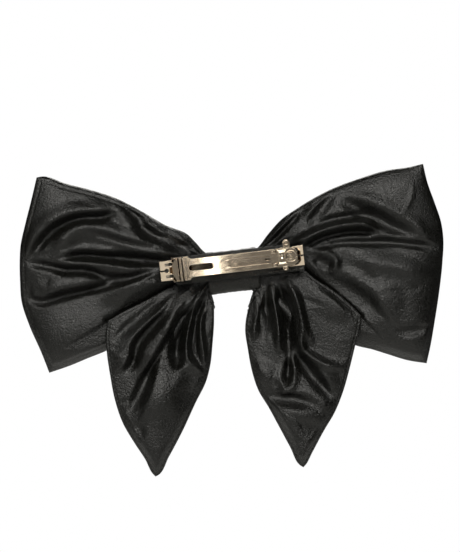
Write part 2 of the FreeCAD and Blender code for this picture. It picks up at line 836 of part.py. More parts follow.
neck_top = "(<band_offset> + <band_height>/2 - <band_thickness> - 3)"
neck_bottom = "(<band_offset> - <band_height>/2 + <band_thickness> + 3)"
neck_room = "(<band_depth> - 2*<band_thickness>)"
tail_neck_puff = "(%s*0.1)" % neck_room
tail_neck_depth = "(%s + <band_thickness> + %s*0.14)" % (band_back, neck_room)
loop_neck_puff = "(%s*0.35)" % neck_room
loop_neck_depth = "(%s + <band_thickness> + %s*0.62)" % (band_back, neck_room)


def loop_panel(word, sign, forward):
    """One panel of a loop, lofted from the core outwards through upright sections."""
    face = "front" if forward else "back"
    body = new_body("%s_loop_%s_panel" % (word, face))
    reach = "<%s_loop_reach>" % word
    top = "<%s_loop_top>" % word
    bottom = "-<%s_loop_bottom>" % word
    top_corner = "<%s_loop_top_corner>" % word
    bottom_corner = "<%s_loop_bottom_corner>" % word
    neck = "<core_length>/2"
    mouth = "(<band_length>/2 + 0.6)"
    fullest = "<loop_%s_puff>" % face
    flat = "<loop_rest_depth>"
    nearer = "min(%s; %s)" % (top_corner, bottom_corner)
    farther = "max(%s; %s)" % (top_corner, bottom_corner)
    stations = [
        (neck, neck_bottom, neck_top, loop_neck_depth, loop_neck_puff),
        (mouth, neck_bottom, neck_top, loop_neck_depth, loop_neck_puff),
        ("%s*0.4" % reach, "%s*0.63" % bottom, "%s*0.56" % top, flat, "%s*0.85" % fullest),
        ("%s*0.62" % reach, "%s*0.82" % bottom, "%s*0.8" % top, flat, fullest),
        ("%s*0.93" % nearer, "%s*0.98" % bottom, "%s*0.99" % top, flat, "%s*0.8" % fullest),
        ("%s" % farther, "%s*0.84" % bottom, "%s*0.9" % top, flat, "%s*0.45" % fullest),
        (reach, "%s*0.2" % bottom, "%s*0.2" % top, flat, "<loop_edge_puff>"),
    ]
    sketches = []
    for index, (station, low, high, depth, puff) in enumerate(stations):
        name = "%s_loop_%s_%d" % (word, face, index)
        sketch = new_sketch(body, name, "YZ_Plane", "%s(%s)" % (sign, station))
        lens(sketch, depth, low, high, puff, forward, True)
        sketches.append(sketch)
    loft(body, "%s_loop_%s_loft" % (word, face), sketches)


def tail_panel(word, sign, forward):
    """One panel of a tail, lofted through sections that swing from upright at the neck to level."""
    face = "front" if forward else "back"
    body = new_body("%s_tail_%s_panel" % (word, face))
    inner = "<%s_tail_inner>" % word
    reach = "<%s_tail_reach>" % word
    corner = "<%s_tail_corner_drop>" % word
    tip = "<%s_tail_tip>" % word
    drop = "<%s_tail_drop>" % word
    neck = "<core_length>/2"
    mouth = "(<band_length>/2 + <tail_mouth_clearance>)"
    length = "(%s - %s)" % (drop, corner)
    flat = "-<tail_lift>"
    puff = "<tail_puff>"
    # inner edge across, inner edge up, outer edge across, outer edge up, depth, puff
    rows = [
        (neck, neck_bottom, neck, "-2", tail_neck_depth, tail_neck_puff),
        (mouth, neck_bottom, mouth, "-2", tail_neck_depth, tail_neck_puff),
        ("%s - 0.2" % mouth, "%s - 5" % neck_bottom, "%s*0.42" % reach, "-%s*0.3" % corner, "1.5", "1.5"),
        (inner + " + 1", "-%s - 1" % corner, reach + "*0.74", "-%s*0.68" % corner, flat + "*0.4", puff + "*0.8"),
        (inner, "-%s - 6" % corner, reach, "-" + corner, flat, puff),
    ]
    for along, inner_share, outer_share, fullness in (
        ("0.23", "0.05", "0.01", "1.1"),
        ("0.58", "0.38", "0.27", "1"),
        ("0.78", "0.68", "0.54", "0.8"),
        ("0.995", "0.985", "0.97", "0.25"),
    ):
        rows.append(
            (
                "%s + (%s - %s)*%s" % (inner, tip, inner, inner_share),
                "-%s - %s*%s - 0.1" % (corner, length, along),
                "%s - (%s - %s)*%s" % (reach, reach, tip, outer_share),
                "-%s - %s*%s" % (corner, length, along),
                flat,
                "%s*%s" % (puff, fullness),
            )
        )
    sketches = []
    for index, (inner_x, inner_z, outer_x, outer_z, depth, fullness) in enumerate(rows):
        across = "((%s) - (%s))" % (outer_x, inner_x)
        rise = "((%s) - (%s))" % (outer_z, inner_z)
        angle = "atan2(-%s; %s%s)" % (rise, sign, across)
        width = "sqrt(%s^2 + %s^2)" % (across, rise)
        name = "%s_tail_%s_%d" % (word, face, index)
        turn = ("%s(%s)" % (sign, inner_x), inner_z, angle)
        sketch = new_sketch(body, name, "XY_Plane", turn=turn)
        lens(sketch, depth, "0", width, fullness, forward, False)
        sketches.append(sketch)
    loft(body, "%s_tail_%s_loft" % (word, face), sketches)


base_plate()
top_bar()
hinge_pin()
tension_bar()
clasp_bracket()
clasp_rivet()
release_ear("upper", "")
release_ear("lower", "-")
backing_strip()
center_band()
gathered_core()
backing_stitches()
plate_stitches()
for word, sign in (("left", "-"), ("right", "")):
    for forward in (False, True):
        loop_panel(word, sign, forward)
        tail_panel(word, sign, forward)
doc.recompute()

# ---- every object is checked before any file is written

for item in doc.Objects:
    if "Invalid" in item.State or "Error" in item.State:
        raise RuntimeError("%s did not compute" % item.Label)
for node in nodes:
    if node.Shape.isNull() or not node.Shape.isValid() or not node.Shape.Solids:
        raise RuntimeError("%s has no valid solid" % node.Label)

os.makedirs("parts", exist_ok=True)
for node in nodes:
    node.Shape.exportStep("parts/%s.step" % node.Label)
    box = node.Shape.BoundBox
    print("%-26s %8.1f mm3" % (node.Label, node.Shape.Volume), [round(v, 1) for v in (
        box.XMin, box.YMin, box.ZMin, box.XMax, box.YMax, box.ZMax)])
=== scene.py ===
import math

import bmesh
import bpy
import numpy as np
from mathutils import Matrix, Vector


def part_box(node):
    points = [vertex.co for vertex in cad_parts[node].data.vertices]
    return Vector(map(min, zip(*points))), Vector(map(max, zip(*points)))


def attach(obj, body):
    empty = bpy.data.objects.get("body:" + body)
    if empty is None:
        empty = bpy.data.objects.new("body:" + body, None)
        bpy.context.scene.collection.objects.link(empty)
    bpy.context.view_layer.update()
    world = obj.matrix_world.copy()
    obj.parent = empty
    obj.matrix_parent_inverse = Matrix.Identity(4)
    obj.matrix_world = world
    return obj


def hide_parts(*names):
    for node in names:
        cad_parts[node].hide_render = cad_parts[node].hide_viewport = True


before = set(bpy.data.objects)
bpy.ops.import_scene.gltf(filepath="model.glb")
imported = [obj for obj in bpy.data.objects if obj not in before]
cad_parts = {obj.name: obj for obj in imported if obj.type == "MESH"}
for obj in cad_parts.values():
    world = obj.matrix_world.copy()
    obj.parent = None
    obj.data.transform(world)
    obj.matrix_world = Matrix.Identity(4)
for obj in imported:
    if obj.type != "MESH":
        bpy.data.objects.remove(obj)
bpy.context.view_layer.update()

# The room. The bow stands upright in front of a white sweep, its clip side towards the viewer. A wide soft
# box hangs above and in front. Weak cards at the front and sides are for the metal to mirror, and two lamps
# light the showy side. The floor is a small pale table top well below the bow.


def linear(code):
    """sRGB hex to linear: c/12.92 under 0.04045, else ((c + 0.055)/1.055) to the power 2.4."""
    c = [int(code[i : i + 2], 16) / 255 for i in (1, 3, 5)]
    return tuple(x / 12.92 if x <= 0.04045 else ((x + 0.055) / 1.055) ** 2.4 for x in c) + (1.0,)


def add(tree, kind, settings=None, **joins):
    """Adds one node; settings are its attributes, joins its inputs, each a value or another socket."""
    n = tree.nodes.new(kind)
    for key, value in (settings or {}).items():
        setattr(n, key, value)
    for key, value in joins.items():
        numbered = key[0] == "_" and key[1:].isdigit()
        spot = n.inputs[int(key[1:]) if numbered else key.replace("_", " ")]
        if isinstance(value, bpy.types.NodeSocket):
            tree.links.new(value, spot)
        else:
            spot.default_value = value
    return n


def material(name):
    """An empty node material with its output, ready for one shader."""
    m = bpy.data.materials.new(name)
    m.use_nodes = True
    m.node_tree.nodes.clear()
    return m, m.node_tree


def grid_faces(rows, columns, first, wrap_rows, wrap_columns, caps):
    """The quads of a grid whose points are numbered from first, with a polygon over each end if caps."""
    index = first + np.arange(rows * columns).reshape(rows, columns)
    ends = [index[0].tolist(), index[-1, ::-1].tolist()] if caps else []
    if wrap_rows:
        index = np.vstack([index, index[:1]])
    if wrap_columns:
        index = np.hstack([index, index[:, :1]])
    quads = np.stack([index[:-1, :-1], index[1:, :-1], index[1:, 1:], index[:-1, 1:]], -1).reshape(-1, 4)
    return quads.tolist() + ends


def grid_mesh(name, *grids, wrap_rows=False, wrap_columns=False, caps=False):
    """One smooth mesh from one or more rows x columns x 3 arrays in millimetres, its ends closed if caps."""
    verts = np.concatenate([g.reshape(-1, 3) for g in grids]) * 0.001
    faces = []
    first = 0
    for g in grids:
        faces += grid_faces(*g.shape[:2], first, wrap_rows, wrap_columns, caps)
        first += g.shape[0] * g.shape[1]
    mesh = bpy.data.meshes.new(name)
    mesh.from_pydata(verts.tolist(), [], faces)
    mesh.shade_smooth()
    piece = bpy.data.objects.new(name, mesh)
    bpy.context.scene.collection.objects.link(piece)
    return piece


eye_distance = 0.9
view_height = 0.3077
camera = bpy.data.objects.new("viewer", bpy.data.cameras.new("viewer"))
camera.location = (-0.0011, -eye_distance, -0.0070)
camera.rotation_euler = (math.radians(90), 0, 0)
camera.data.sensor_width = 36
camera.data.lens = 36 * eye_distance / view_height
camera.data.clip_start = 0.01
bpy.context.scene.collection.objects.link(camera)
bpy.context.scene.camera = camera
bpy.context.scene.view_settings.view_transform = "Standard"

world = bpy.data.worlds.new("white_sweep")
bpy.context.scene.world = world
world.use_nodes = True
sky = world.node_tree
sky.nodes.clear()
direction = add(sky, "ShaderNodeTexCoord")
height = add(sky, "ShaderNodeSeparateXYZ", _0=direction.outputs["Generated"])
rise = add(sky, "ShaderNodeMapRange", _0=height.outputs["Z"], _1=-1.0, _2=1.0, _3=0.006, _4=0.035)
seen = add(sky, "ShaderNodeLightPath")
room = add(sky, "ShaderNodeBackground", Color=(1, 1, 1, 1), Strength=rise.outputs[0])
sweep = add(sky, "ShaderNodeBackground", Color=(1, 1, 1, 1), Strength=1.0)
choice = add(
    sky, "ShaderNodeMixShader", _0=seen.outputs["Is Camera Ray"], _1=room.outputs[0], _2=sweep.outputs[0]
)
add(sky, "ShaderNodeOutputWorld", Surface=choice.outputs[0])


def soft_box(name, place, size, watts, towards=(0, 0, 0)):
    """A rectangular lamp at place, facing the point towards, a little warm."""
    lamp = bpy.data.lights.new(name, "AREA")
    lamp.color = (1.0, 0.985, 0.94)
    lamp.shape = "RECTANGLE"
    lamp.size, lamp.size_y = size
    lamp.energy = watts
    o = bpy.data.objects.new(name, lamp)
    o.location = place
    o.rotation_euler = (Vector(towards) - Vector(place)).to_track_quat("-Z", "Y").to_euler()
    bpy.context.scene.collection.objects.link(o)
    return o


soft_box("key_above", (-0.06, -0.64, 0.52), (0.8, 0.30), 7.6)
soft_box("front_strip", (0.034, -1.10, 0.01), (0.016, 0.24), 0.11)
soft_box("front_near", (0.0, -1.35, 0.03), (0.72, 0.24), 0.13)
soft_box("front_fill", (0.0, -1.40, 0.40), (0.6, 0.25), 1.8)
soft_box("left_card", (-0.58, -1.05, 0.02), (0.16, 0.4), 0.20)
soft_box("right_card", (0.58, -1.05, 0.02), (0.16, 0.4), 0.20)
soft_box("left_fill", (-0.85, -0.40, 0.15), (0.3, 0.6), 0.7)
soft_box("back_rim", (0.2, 0.9, 0.7), (0.9, 0.5), 8)
soft_box("back_fill", (-0.3, 1.6, 0.35), (1.0, 0.7), 2.5)

floor_paint, tree = material("matt_white_table_top")
grain = add(tree, "ShaderNodeTexCoord")
mottle = add(tree, "ShaderNodeTexNoise", Vector=grain.outputs["Object"], Scale=6.0, Detail=3.0)
tint = add(
    tree,
    "ShaderNodeMix",
    {"data_type": "RGBA"},
    _0=mottle.outputs[0],
    _6=linear("#efefec"),
    _7=linear("#f5f5f3"),
)
paint = add(tree, "ShaderNodeBsdfPrincipled", Base_Color=tint.outputs[2], Roughness=0.7)
add(tree, "ShaderNodeOutputMaterial", Surface=paint.outputs[0])
side = np.linspace(-1000, 1000, 5)
top = np.stack(np.meshgrid(side, side, indexing="ij") + [np.full((5, 5), -350.0)], -1)
table_top = grid_mesh("table_top", top)
table_top.data.materials.append(floor_paint)

# The barrette. Stamped and bent steel strip, barrel plated with bright nickel that has gone slightly warm.
# The rolled strip keeps its long grain under the plating, with fine rubs on the crests from use.
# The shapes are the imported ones, and the finish follows the clip's own tilt.

clip_tilt = math.radians(6.6)


def nickel(name, shade, dull, rub):
    """Nickel plate: long rolling grain across the tilt, small smudges, and bright rubs."""
    m, tree = material(name)
    at = add(tree, "ShaderNodeTexCoord")
    # Rolling lines are about 0.1 mm apart; drawn at 0.35 mm, because finer ones don't show.
    along = add(
        tree,
        "ShaderNodeMapping",
        Vector=at.outputs["Object"],
        Rotation=(0, clip_tilt, 0),
        Scale=(40, 900, 2800),
    )
    lines = add(tree, "ShaderNodeTexNoise", Vector=along.outputs[0], Scale=1.0, Detail=2.0)
    smudge = add(tree, "ShaderNodeTexNoise", Vector=at.outputs["Object"], Scale=180.0, Detail=4.0)
    colour = add(
        tree,
        "ShaderNodeMix",
        {"data_type": "RGBA"},
        _0=smudge.outputs[0],
        _6=linear(shade),
        _7=linear(rub),
    )
    gloss = add(
        tree, "ShaderNodeMapRange", _0=smudge.outputs[0], _1=0.3, _2=0.7, _3=dull - 0.02, _4=dull + 0.03
    )
    # The press leaves every edge rounded by about 0.2 mm.
    edge = add(tree, "ShaderNodeBevel", {"samples": 6}, Radius=0.00025)
    bump = add(
        tree,
        "ShaderNodeBump",
        Strength=0.15,
        Distance=0.00003,
        Height=lines.outputs[0],
        Normal=edge.outputs[0],
    )
    metal = add(
        tree,
        "ShaderNodeBsdfPrincipled",
        Base_Color=colour.outputs[2],
        Metallic=1.0,
        Roughness=gloss.outputs[0],
        Anisotropic=0.3,
        Normal=bump.outputs[0],
    )
    add(tree, "ShaderNodeOutputMaterial", Surface=metal.outputs[0])
    return m


nickel_plate = nickel("nickel_plated_stamped_steel", "#bbab95", 0.065, "#d0c1ad")
# The spring leaf gets the same nickel painted a little darker: painted shade for where it lies under the top
# bar.
spring_leaf_nickel_painted_shade = nickel("nickel_plated_spring_leaf_painted_shade", "#b3a38e", 0.065, "#cabba7")
plated = (
    "base_plate", "top_bar", "hinge_pin", "clasp_bracket",
    "clasp_rivet", "upper_release_ear", "lower_release_ear",
)
for name in plated:
    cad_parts[name].data.materials.clear()
    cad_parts[name].data.materials.append(nickel_plate)
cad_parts["tension_bar"].data.materials.clear()
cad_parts["tension_bar"].data.materials.append(spring_leaf_nickel_painted_shade)

# The rims of the four sewing holes. The press pushes the plate's metal up into a small ring round each hole.
# The ring is polished by the thread, so it is the brightest spot at each end of the plate.

plate_half_length = 40.0
plate_bow_height = 6.0
plate_radius = (plate_half_length**2 + plate_bow_height**2) / (2 * plate_bow_height)


def tilted(s, y, w):
    """Clip coordinates (along, away from the head, across) to the frame: a turn of clip_tilt about Y."""
    x = s * math.cos(clip_tilt) - w * math.sin(clip_tilt)
    z = s * math.sin(clip_tilt) + w * math.cos(clip_tilt)
    return np.stack(np.broadcast_arrays(x, y, z), -1)


def plate_sag(s):
    """How far the bowed plate has come towards the head at station s: R - sqrt(R^2 - s^2)."""
    return plate_radius - np.sqrt(plate_radius**2 - np.minimum(np.abs(s), 60.0) ** 2)


def ring(s, y, w, big, small):
    """A torus round the Y axis: big + small cos b out and small sin b up, at angle b round its tube."""
    a = np.linspace(0, 2 * np.pi, 40, endpoint=False)[:, None]
    b = np.linspace(0, 2 * np.pi, 12, endpoint=False)[None]
    r = big + small * np.cos(b)
    return tilted(s + r * np.cos(a), y - small * 0.9 * np.sin(b), w + r * np.sin(a))


def outward(piece):
    """Turns a closed mesh's faces to point outwards, after its doubles are merged."""
    bm = bmesh.new()
    bm.from_mesh(piece.data)
    bmesh.ops.remove_doubles(bm, verts=bm.verts, dist=1e-7)
    bmesh.ops.recalc_face_normals(bm, faces=bm.faces)
    bm.to_mesh(piece.data)
    bm.free()
    piece.data.shade_smooth()
    return piece


sewing_holes = [(-34.0, 3.3), (-34.0, -3.3), (34.0, 3.3), (34.0, -3.3)]
hole_rim_radius = 1.25
hole_rim_tube = 0.28
tori = [ring(s, -plate_sag(s) - 0.05, w, hole_rim_radius, hole_rim_tube) for s, w in sewing_holes]
rims = outward(grid_mesh("sewing_hole_rims", *tori, wrap_rows=True, wrap_columns=True))
rims.data.materials.append(nickel_plate)
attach(rims, "bow")

# The pressings on the top bar's clasp end. The bar is coined there into a square boss with a border and a
# round dimple, two corner beads that stiffen the step, and a rolled rim round the window, of its own metal.
# The two squeeze ears have the same rolled rim at their tips.

bar_bow_height = 1.86
bar_radius = (plate_half_length**2 + bar_bow_height**2) / (2 * bar_bow_height)
bar_middle = -7.0
bar_step_start, bar_step_length, bar_step_height = 22.6, 1.2, 0.6


def bar_face(s):
    """Depth of the bar's outer face: that of its middle, less its bow, less the step towards the clasp."""
    step = np.clip((s - bar_step_start) / bar_step_length, 0, 1)
    return bar_middle - (bar_radius - np.sqrt(bar_radius**2 - s**2)) - bar_step_height * step


def pressed(s_low, s_high, w_low, w_high, tall, power, detail=None):
    """A boss on the bar: tall (1 - |a|^power)(1 - |b|^power) over a, b from -1 to 1, less any detail."""
    span = np.sin(np.linspace(-np.pi / 2, np.pi / 2, 49))
    a, b = span[:, None], span[None]
    s = (s_low + s_high) / 2 + (s_high - s_low) / 2 * a + 0 * b
    w = (w_low + w_high) / 2 + (w_high - w_low) / 2 * b + 0 * a
    rise = tall * (1 - np.abs(a) ** power) * (1 - np.abs(b) ** power)
    if detail:
        rise = rise - detail(s, w, a, b) * (1 - np.abs(a) ** 8) * (1 - np.abs(b) ** 8)
    # The foot of the boss is sunk 0.08 mm into the bar.
    return tilted(s, bar_face(s) + 0.08 - rise, w)


def border_and_dimple(s, w, a, b):
    """A groove 0.28 mm deep along a rounded square, and a dimple 1.4 mm in radius and 0.3 mm deep."""
    square = (np.abs(a) ** 6 + np.abs(b) ** 6) ** (1 / 6)
    out = np.hypot(s - 28.0, w - 0.6)
    return 0.28 * np.exp(-(((square - 0.74) / 0.05) ** 2)) + 0.3 * np.clip(1 - (out / 1.4) ** 2, 0, None) ** 2


bosses = [
    pressed(25.2, 30.6, -3.9, 4.5, 0.45, 12, border_and_dimple),
    pressed(21.9, 24.7, 2.5, 4.9, 0.75, 4),
    pressed(22.1, 24.9, -4.9, -2.3, 0.75, 4),
]
boss = grid_mesh("bar_pressings", *bosses)
if boss.data.polygons[0].normal.y > 0:
    boss.data.flip_normals()
wall = boss.modifiers.new("metal_thickness", "SOLIDIFY")
wall.thickness = 0.0002
wall.offset = -1
boss.data.materials.append(nickel_plate)
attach(boss, "arm")

window_middle = 32.9
torus = ring(window_middle, bar_face(window_middle) - 0.02, 0.3, 3.0, 0.32)
window_rim = outward(grid_mesh("window_rim", torus, wrap_rows=True, wrap_columns=True))
window_rim.data.materials.append(nickel_plate)
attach(window_rim, "arm")
for name, s, w, big in (("upper", 30.9, 7.9, 1.15), ("lower", 29.3, -6.0, 0.85)):
    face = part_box(f"{name}_release_ear")[0].y * 1000
    torus = ring(s, face + 0.05, w, big, 0.26)
    ear_rim = outward(grid_mesh(f"{name}_ear_rim", torus, wrap_rows=True, wrap_columns=True))
    ear_rim.data.materials.append(nickel_plate)
    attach(ear_rim, f"{name}_ear")

# The leatherette. A polyester knit with a black polyurethane skin: soft, slightly oily, with a calf grain.
# The skin is glossy where it is stretched over a fold and duller where it is slack, so the sheen is uneven.
# It is near black and a touch warm.


def leatherette(name, shade, pale, dull, crinkle):
    """PU skin: cell grain, crinkles a few millimetres long, and slow changes of gloss."""
    m, tree = material(name)
    at = add(tree, "ShaderNodeTexCoord")
    # Calf grain is about 0.4 mm. It is drawn at 0.9 mm and 1.2 mm, because a finer one doesn't show.
    cells = add(
        tree, "ShaderNodeTexVoronoi", {"feature": "SMOOTH_F1"}, Vector=at.outputs["Object"], Scale=1100.0
    )
    fine = add(
        tree, "ShaderNodeTexNoise", Vector=at.outputs["Object"], Scale=850.0, Detail=3.0, Roughness=0.7
    )
    crease = add(
        tree, "ShaderNodeTexNoise", Vector=at.outputs["Object"], Scale=210.0, Detail=5.0, Roughness=0.6
    )
    slow = add(tree, "ShaderNodeTexNoise", Vector=at.outputs["Object"], Scale=34.0, Detail=3.0)
    colour = add(
        tree, "ShaderNodeMix", {"data_type": "RGBA"}, _0=fine.outputs[0], _6=linear(shade), _7=linear(pale)
    )
    patches = add(
        tree,
        "ShaderNodeMath",
        {"operation": "MULTIPLY_ADD"},
        _0=crease.outputs[0],
        _1=0.6,
        _2=slow.outputs[0],
    )
    slack = add(tree, "ShaderNodeMapRange", _0=patches.outputs[0], _1=0.5, _2=1.1, _3=-0.06, _4=0.08)
    pores = add(
        tree, "ShaderNodeMapRange", _0=fine.outputs[0], _1=0.35, _2=0.65, _3=dull - 0.08, _4=dull + 0.10
    )
    gloss = add(tree, "ShaderNodeMath", {"operation": "ADD"}, _0=slack.outputs[0], _1=pores.outputs[0])
    big = add(tree, "ShaderNodeBump", Strength=crinkle, Distance=0.0003, Height=crease.outputs[0])
    mid = add(
        tree, "ShaderNodeBump", Strength=1.0, Distance=0.0005, Height=fine.outputs[0], Normal=big.outputs[0]
    )
    small = add(
        tree, "ShaderNodeBump", Strength=0.8, Distance=0.0002, Height=cells.outputs[0], Normal=mid.outputs[0]
    )
    skin = add(
        tree,
        "ShaderNodeBsdfPrincipled",
        Base_Color=colour.outputs[2],
        Roughness=gloss.outputs[0],
        IOR=1.47,
        Normal=small.outputs[0],
    )
    add(tree, "ShaderNodeOutputMaterial", Surface=skin.outputs[0])
    return m


black_skin = leatherette("black_pu_leatherette", "#020201", "#0c0c08", 0.33, 0.42)

# The four loop and tail pairs. Each is two cuts of leatherette sewn together round the edge and turned,
# then gathered at the middle, so folds run out from the neck and lose themselves in the fullness outside.
# The seam lies on one plane; each cut stands away from it, with the edge rolled over the seam.


def smooth(low, high, x):
    """0 below low, 1 above high, and 3t^2 - 2t^3 between."""
    t = np.clip((x - low) / (high - low), 0, 1)
    return t * t * (3 - 2 * t)


def curve(points, at):
    """Cubic through the points, its slope at each set by its neighbours; at is the share of the length."""
    p = np.array(points, float)
    run = np.concatenate([[0], np.cumsum(np.linalg.norm(np.diff(p, axis=0), axis=1))])
    slope = np.gradient(p, run, axis=0)
    t = np.asarray(at, float) * run[-1]
    i = np.clip(np.searchsorted(run, t, side="right") - 1, 0, len(p) - 2)
    h = (run[i + 1] - run[i])[..., None]
    x = (t - run[i])[..., None] / h
    ends = (2 * x**3 - 3 * x**2 + 1) * p[i] + (3 * x**2 - 2 * x**3) * p[i + 1]
    return ends + (x**3 - 2 * x**2 + x) * h * slope[i] + (x**3 - x**2) * h * slope[i + 1]


def near(where, line, steps=36):
    """Distance from each point to a line, the same square to it (+ to the left), and how far along it."""
    p = curve(line, np.linspace(0, 1, steps + 1))
    best = np.full(where.shape[:-1], 1e9)
    side = np.zeros_like(best)
    along = np.zeros_like(best)
    for i in range(steps):
        d = p[i + 1] - p[i]
        r = where - p[i]
        t = np.clip((r @ d) / (d @ d), 0, 1)
        gap = np.hypot(r[..., 0] - t * d[0], r[..., 1] - t * d[1])
        closer = gap < best
        best = np.where(closer, gap, best)
        side = np.where(closer, (d[0] * r[..., 1] - d[1] * r[..., 0]) / math.hypot(*d), side)
        along = np.where(closer, (i + t) / steps, along)
    return best, side, along


ridge_spread, valley_spread = 1.35, 1.15
fold_gain = 1.1
crisp_width = 9


def folded(where, folds, steps=36):
    """Sum of the folds, each height (1 - g^2)^2 at g = distance/width, with a width for either side.

    A narrow ridge is part (1 - g)^2, which is sharper, and every fold fades at its ends.
    """
    total = np.zeros(where.shape[:-1])
    for height, left, right, line in folds:
        gap, side, along = near(where, line, steps)
        spread = ridge_spread if height > 0 else valley_spread
        width = spread * ((left + right) / 2 + (left - right) / 2 * np.clip(side / 2, -1, 1))
        run = np.sum(np.hypot(*np.diff(np.array(line), axis=0).T))
        fade = np.clip(2.2 * (left + right) / 2 / run, 0.16, 0.45)
        ends = smooth(-0.3 * fade, fade, along) * smooth(-0.3 * fade, fade, 1 - along)
        ends = 1 if left > 0.6 * run else ends
        g = np.clip(gap / (width * (0.45 + 0.55 * ends)), 0, 1)
        crisp = 0.0
        if height > 0:
            crisp = 0.5 if left + right < crisp_width else 0.12
        total += fold_gain * height * ((1 - crisp) * (1 - g**2) ** 2 + crisp * (1 - g) ** 2) * ends
    return total


def rumples(flat, count, seed):
    """Short slight creases strewn over the cut, from a seeded draw, mostly running out from the neck."""
    draw = np.random.default_rng(seed)
    rows, columns = flat.shape[:2]
    lines = []
    for _ in range(count):
        i, j = int(draw.integers(rows // 5, rows - 12)), int(draw.integers(8, columns - 8))
        run = flat[i + 4, j] - flat[i - 4, j]
        run = run / np.hypot(*run)
        turn = draw.normal(0, 0.55)
        c, d = math.cos(turn), math.sin(turn)
        run = np.array([c * run[0] - d * run[1], d * run[0] + c * run[1]])
        across = np.array([-run[1], run[0]])
        half = draw.uniform(3.5, 9.0)
        bow = draw.uniform(-1.6, 1.6)
        at = flat[i, j]
        line = [tuple(at - half * run), tuple(at + bow * across), tuple(at + half * run)]
        wide = draw.uniform(1.4, 3.0)
        lines.append((draw.choice([-1, 1]) * draw.uniform(0.18, 0.5), wide, wide, line))
    return lines


def eased(field, passes):
    """The field after some passes of a quarter, half, quarter mean along both ways of the grid."""
    for _ in range(passes):
        f = np.pad(field, 1, mode="edge")
        f = 0.25 * f[:-2] + 0.5 * f[1:-1] + 0.25 * f[2:]
        field = 0.25 * f[:, :-2] + 0.5 * f[:, 1:-1] + 0.25 * f[:, 2:]
    return field


def patch(neck, outer, lower, upper, rows, columns):
    """Coons surface in the seam plane: the blend of each pair of opposite edges, less that of the corners."""
    u = np.linspace(0, 1, rows)
    v = np.linspace(0, 1, columns)
    low, high = curve(lower, u)[:, None], curve(upper, u)[:, None]
    near_edge, far_edge = curve(neck, v)[None], curve(outer, v)[None]
    u, v = u[:, None, None], v[None, :, None]
    corners = (1 - u) * (1 - v) * low[0, 0] + (1 - u) * v * high[0, 0]
    corners = corners + u * (1 - v) * low[-1, 0] + u * v * high[-1, 0]
    flat = (1 - v) * low + v * high + (1 - u) * near_edge + u * far_edge - corners
    return flat, np.broadcast_to(u[..., 0], flat.shape[:2]), np.broadcast_to(v[..., 0], flat.shape[:2])


def behind(depth, limit, soft=0.5):
    """The larger of depth and limit, rounded over soft millimetres."""
    return 0.5 * (depth + limit + np.sqrt((depth - limit) ** 2 + soft**2))


cleared_length, cleared_width = 41.0, 7.7
strip_offset = 0.7
strip_back = 2.0
fold_room = 0.7
fall_away = 0.45
tail_room = 2.6


def clear_of_strip(x, z):
    """The depth that a fold keeps behind the backing strip, falling away outside the strip's edges."""
    s = x * math.cos(clip_tilt) + z * math.sin(clip_tilt)
    w = -x * math.sin(clip_tilt) + z * math.cos(clip_tilt)
    past_end = np.clip(np.abs(s) - cleared_length, 0, None)
    past_side = np.clip(np.abs(w + strip_offset) - cleared_width, 0, None)
    return strip_back - plate_sag(s) + fold_room - fall_away * np.hypot(past_end, past_side)


def clear_of_tail(x, z, top_edge):
    """The depth that a loop keeps behind the tail below it, falling away above the tail's top edge."""
    gap, side, along = near(np.stack([x, z], -1), top_edge)
    above = np.where((side > 0) == (top_edge[0][0] > 0), gap, 0)
    return tail_plane(np.hypot(x, z + 5)) + tail_room - above


def tail_plane(reach):
    """Depth of the tails' seam: 6 mm inside the band, 2 mm past the strip, out to -6.5 mm at the tips."""
    return 6.0 - 4.0 * smooth(14, 50, reach) - 8.5 * smooth(50, 122, reach)


def loop_plane(reach):
    """Depth of the loops' seam: 11 mm in the band, 8 mm outside."""
    return 11.0 - 3.0 * smooth(12, 50, reach)


swell_run, swell_power = 22, 2.6
rolled_edge_run, rolled_edge_height = 1.6, 0.9
stitch_length = 3.4
rumple_count = 24
cut_grid = (220, 170)


def turned_out(points, share):
    """Points moved away from the middle by a share of their distance, from none at 20 mm to all at 100 mm."""
    far = smooth(20, 100, np.hypot(points[..., 0], points[..., 1]))
    return points * (1 + share * far)[..., None]


